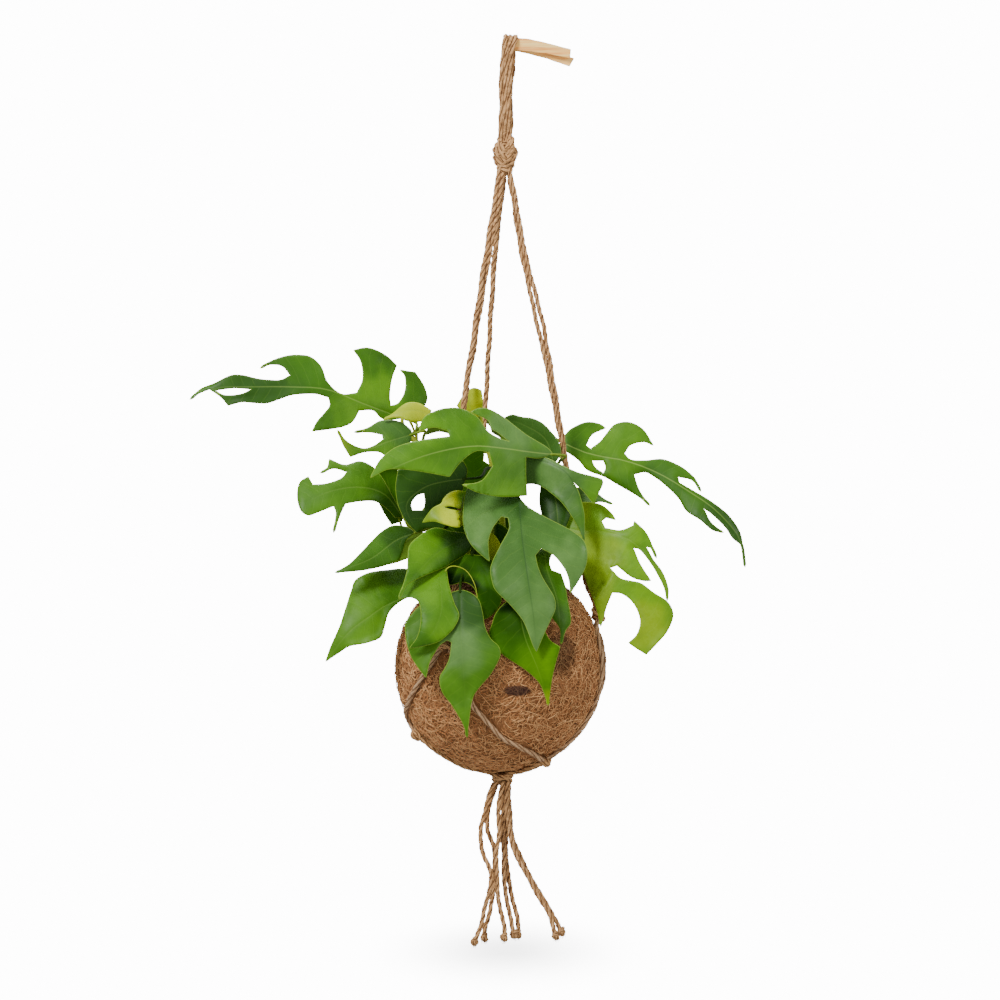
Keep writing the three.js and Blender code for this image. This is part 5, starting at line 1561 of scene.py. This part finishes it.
SHADED = ("leaf_05", "leaf_06", "leaf_08", "leaf_10", "leaf_17", "leaf_19", "leaf_20", "leaf_29")
STALK_BEND = 12.5 * MM                   # how far before the leaf a stalk bends
STALK_STEP = 1.5 * MM
IN_SHADE_TONE = -0.85


# %% The way of a stalk
def rib_place(leaf, i):
    """A point of the leaf's rib, in place."""
    flat = leaf.rib[i][None]
    return leaf.placed(np.array([flat[0, 0], leaf.depth(flat)[0], flat[0, 1]]))


def stalk_route(leaf, start):
    """From the stem, by way of given places or a bend, along the rib into the leaf."""
    foot = rib_place(leaf, 0)
    heading = unit(rib_place(leaf, 2) - foot)
    bend = foot - heading * STALK_BEND
    rise = (start + bend) / 2 + [0, 0, 4 * MM]
    middle = read_points(WAYS[leaf.node]) if leaf.node in WAYS else np.array([rise, bend])
    return np.vstack([start, middle, foot - heading * 1.2 * MM, foot + heading * 2.5 * MM])


# %% Stems in full
for name, text in STEMS.items():
    pile = Pile()
    line = smooth(read_points(text), STALK_STEP)
    t = np.linspace(0, 1, len(line))
    radii = (2.9 - 0.9 * t + 0.25 * np.cos(t * 40)) * MM
    radii[-1] *= 0.6
    add_tube(pile, line, radii, 12, along=t, tone=t * 0.8)
    for node, at in STALKS[name].items():
        start = line[round(at * (len(line) - 1))]
        stalk = smooth(stalk_route(made_leaves[node], start), STALK_STEP)
        t = np.linspace(0, 1, len(stalk))
        widths = (1.55 - 0.5 * t + 0.7 * np.exp(-t * 9)) * MM
        widths[-1] *= 0.4
        tone = IN_SHADE_TONE if node in SHADED else 0.05 + 0.25 * rng.random()
        add_tube(pile, stalk, widths, 9, along=t, tone=tone)
    pile.piece(f"stem_{name}_stalks", STEM, "stem_green", f"stem_{name}")
print("stems:", ", ".join(STEMS))

# %% [markdown]
# ### Shoots, and a curled rim
#
# A new leaf comes out of its stem rolled up, as a thin pointed shoot. Two of them show at the top.
# The rim of the curled leaf turns up as a fine pale line. All three are too thin for a solid, and
# a tube that gets thinner towards its end gives them.

# %% Two young shoots, and the turned-up rim of the curled leaf
SHOOTS = {
    "shoot_left": ("-83,1,-345 -88,-4,-335 -90,-7,-327 -86,-9,-325 -82,-11,-331 -77,-12,-345", 1.9, 0.75),
    "shoot_middle": ("-21,0,-340 -22,-3,-326 -24,-5,-315", 1.7, 0.9),
    "curled_rim": ("-53,-80,-457 -50,-80,-453.5 -44.7,-79,-452.4 -35.3,-76,-456 -28.4,-78,-466 -25.4,-81,-478"
                   " -26,-83.5,-490 -31,-84,-498", 0.5, 0.45),
}
for name, (text, thick, tone) in SHOOTS.items():
    line = smooth(read_points(text), 1.2 * MM)
    t = np.linspace(0, 1, len(line))
    pile = Pile()
    add_tube(pile, line, thick * MM * np.clip(1.15 - t, 0.12, 1) ** 0.6, 10, along=t, tone=tone)
    pile.piece(name, STEM, "stem_green")
print("also:", ", ".join(SHOOTS))

# %% [markdown]
# ## Light and floor
#
# The plant hangs before plain white. A white world lights it evenly from all round, and is
# brighter to the eye than as a light, so that it shows as white. A large soft lamp from the upper
# left gives form, and two weaker ones reach the right side and the top. On the floor a faint
# painted shadow lies under it.

# %% Light
def lamp(name, place, size, watts, aim):
    """A soft round lamp that looks at a place."""
    light = bpy.data.lights.new(name, "AREA")
    light.shape, light.size, light.energy = "DISK", size, watts
    piece = bpy.data.objects.new(name, light)
    piece.location = place
    piece.rotation_euler = (Vector(aim) - Vector(place)).to_track_quat("-Z", "Y").to_euler()
    bpy.context.scene.collection.objects.link(piece)


MIDDLE = (-0.02, 0, -0.42)
lamp("key", (-1.2, -1.9, 1.3), 0.8, 90, MIDDLE)
lamp("fill", (1.9, -1.6, 0.2), 1.4, 18, MIDDLE)
lamp("top", (0.1, 0.5, 1.4), 0.9, 22, MIDDLE)

print("three soft lamps")

# %% White world
PAPER, ROUND_LIGHT = 14.0, 0.75          # how bright the white is to the eye, and as a light
white = Nodes(bpy.data.worlds.new("white"))
seen = white.node("ShaderNodeLightPath", {}, {}, "Is Camera Ray")
strength = white.node("ShaderNodeMapRange", {}, {"Value": seen, "To Min": ROUND_LIGHT, "To Max": PAPER})
background = white.tree.nodes["Background"]
white.feed(background, "Color", (1, 1, 1, 1))
white.feed(background, "Strength", strength)
bpy.context.scene.world = white.owner
print("white world:", ROUND_LIGHT, "as a light")

# %% [markdown]
# ### The floor
#
# Below the plant only a soft shade shows. It is painted: a grey disc that fades out from its
# middle. The disc is larger than the shade, and is clear from there on.

# %% Floor
FLOOR = -0.7875
SHADE_MIDDLE, SHADE_HALF = (0.0, 0.1), (0.13, 0.85)
FLOOR_HALF, FLOOR_SIDES = (0.2, 0.9), 96


def painted_shadow_finish():
    floor = Finish("floor", Base_Color=(0.5, 0.5, 0.5, 1), Roughness=0.9, Specular_IOR_Level=0.0)
    x, y, _ = floor.axes(floor.place())
    away = blot(x, y, SHADE_MIDDLE, SHADE_HALF) ** 0.5
    return floor.set(Alpha=away.between(1.0, 0.0) * 0.7)


turn = np.linspace(0, 2 * np.pi, FLOOR_SIDES, endpoint=False)
rim_x, rim_y = FLOOR_HALF[0] * np.cos(turn), SHADE_MIDDLE[1] + FLOOR_HALF[1] * np.sin(turn)
rim = np.stack([rim_x, rim_y, FLOOR + 0 * turn], 1)
mesh = bpy.data.meshes.new("floor")
mesh.from_pydata(rim.tolist(), [], [list(range(FLOOR_SIDES))])
mesh.materials.append(painted_shadow_finish())
ground = bpy.data.objects.new("floor", mesh)
bpy.context.scene.collection.objects.link(ground)
ground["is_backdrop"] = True
print("floor at", FLOOR)

# %% Sizes and finish
low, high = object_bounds()
print("scene", [round(v, 4) for v in [*low, *high]])
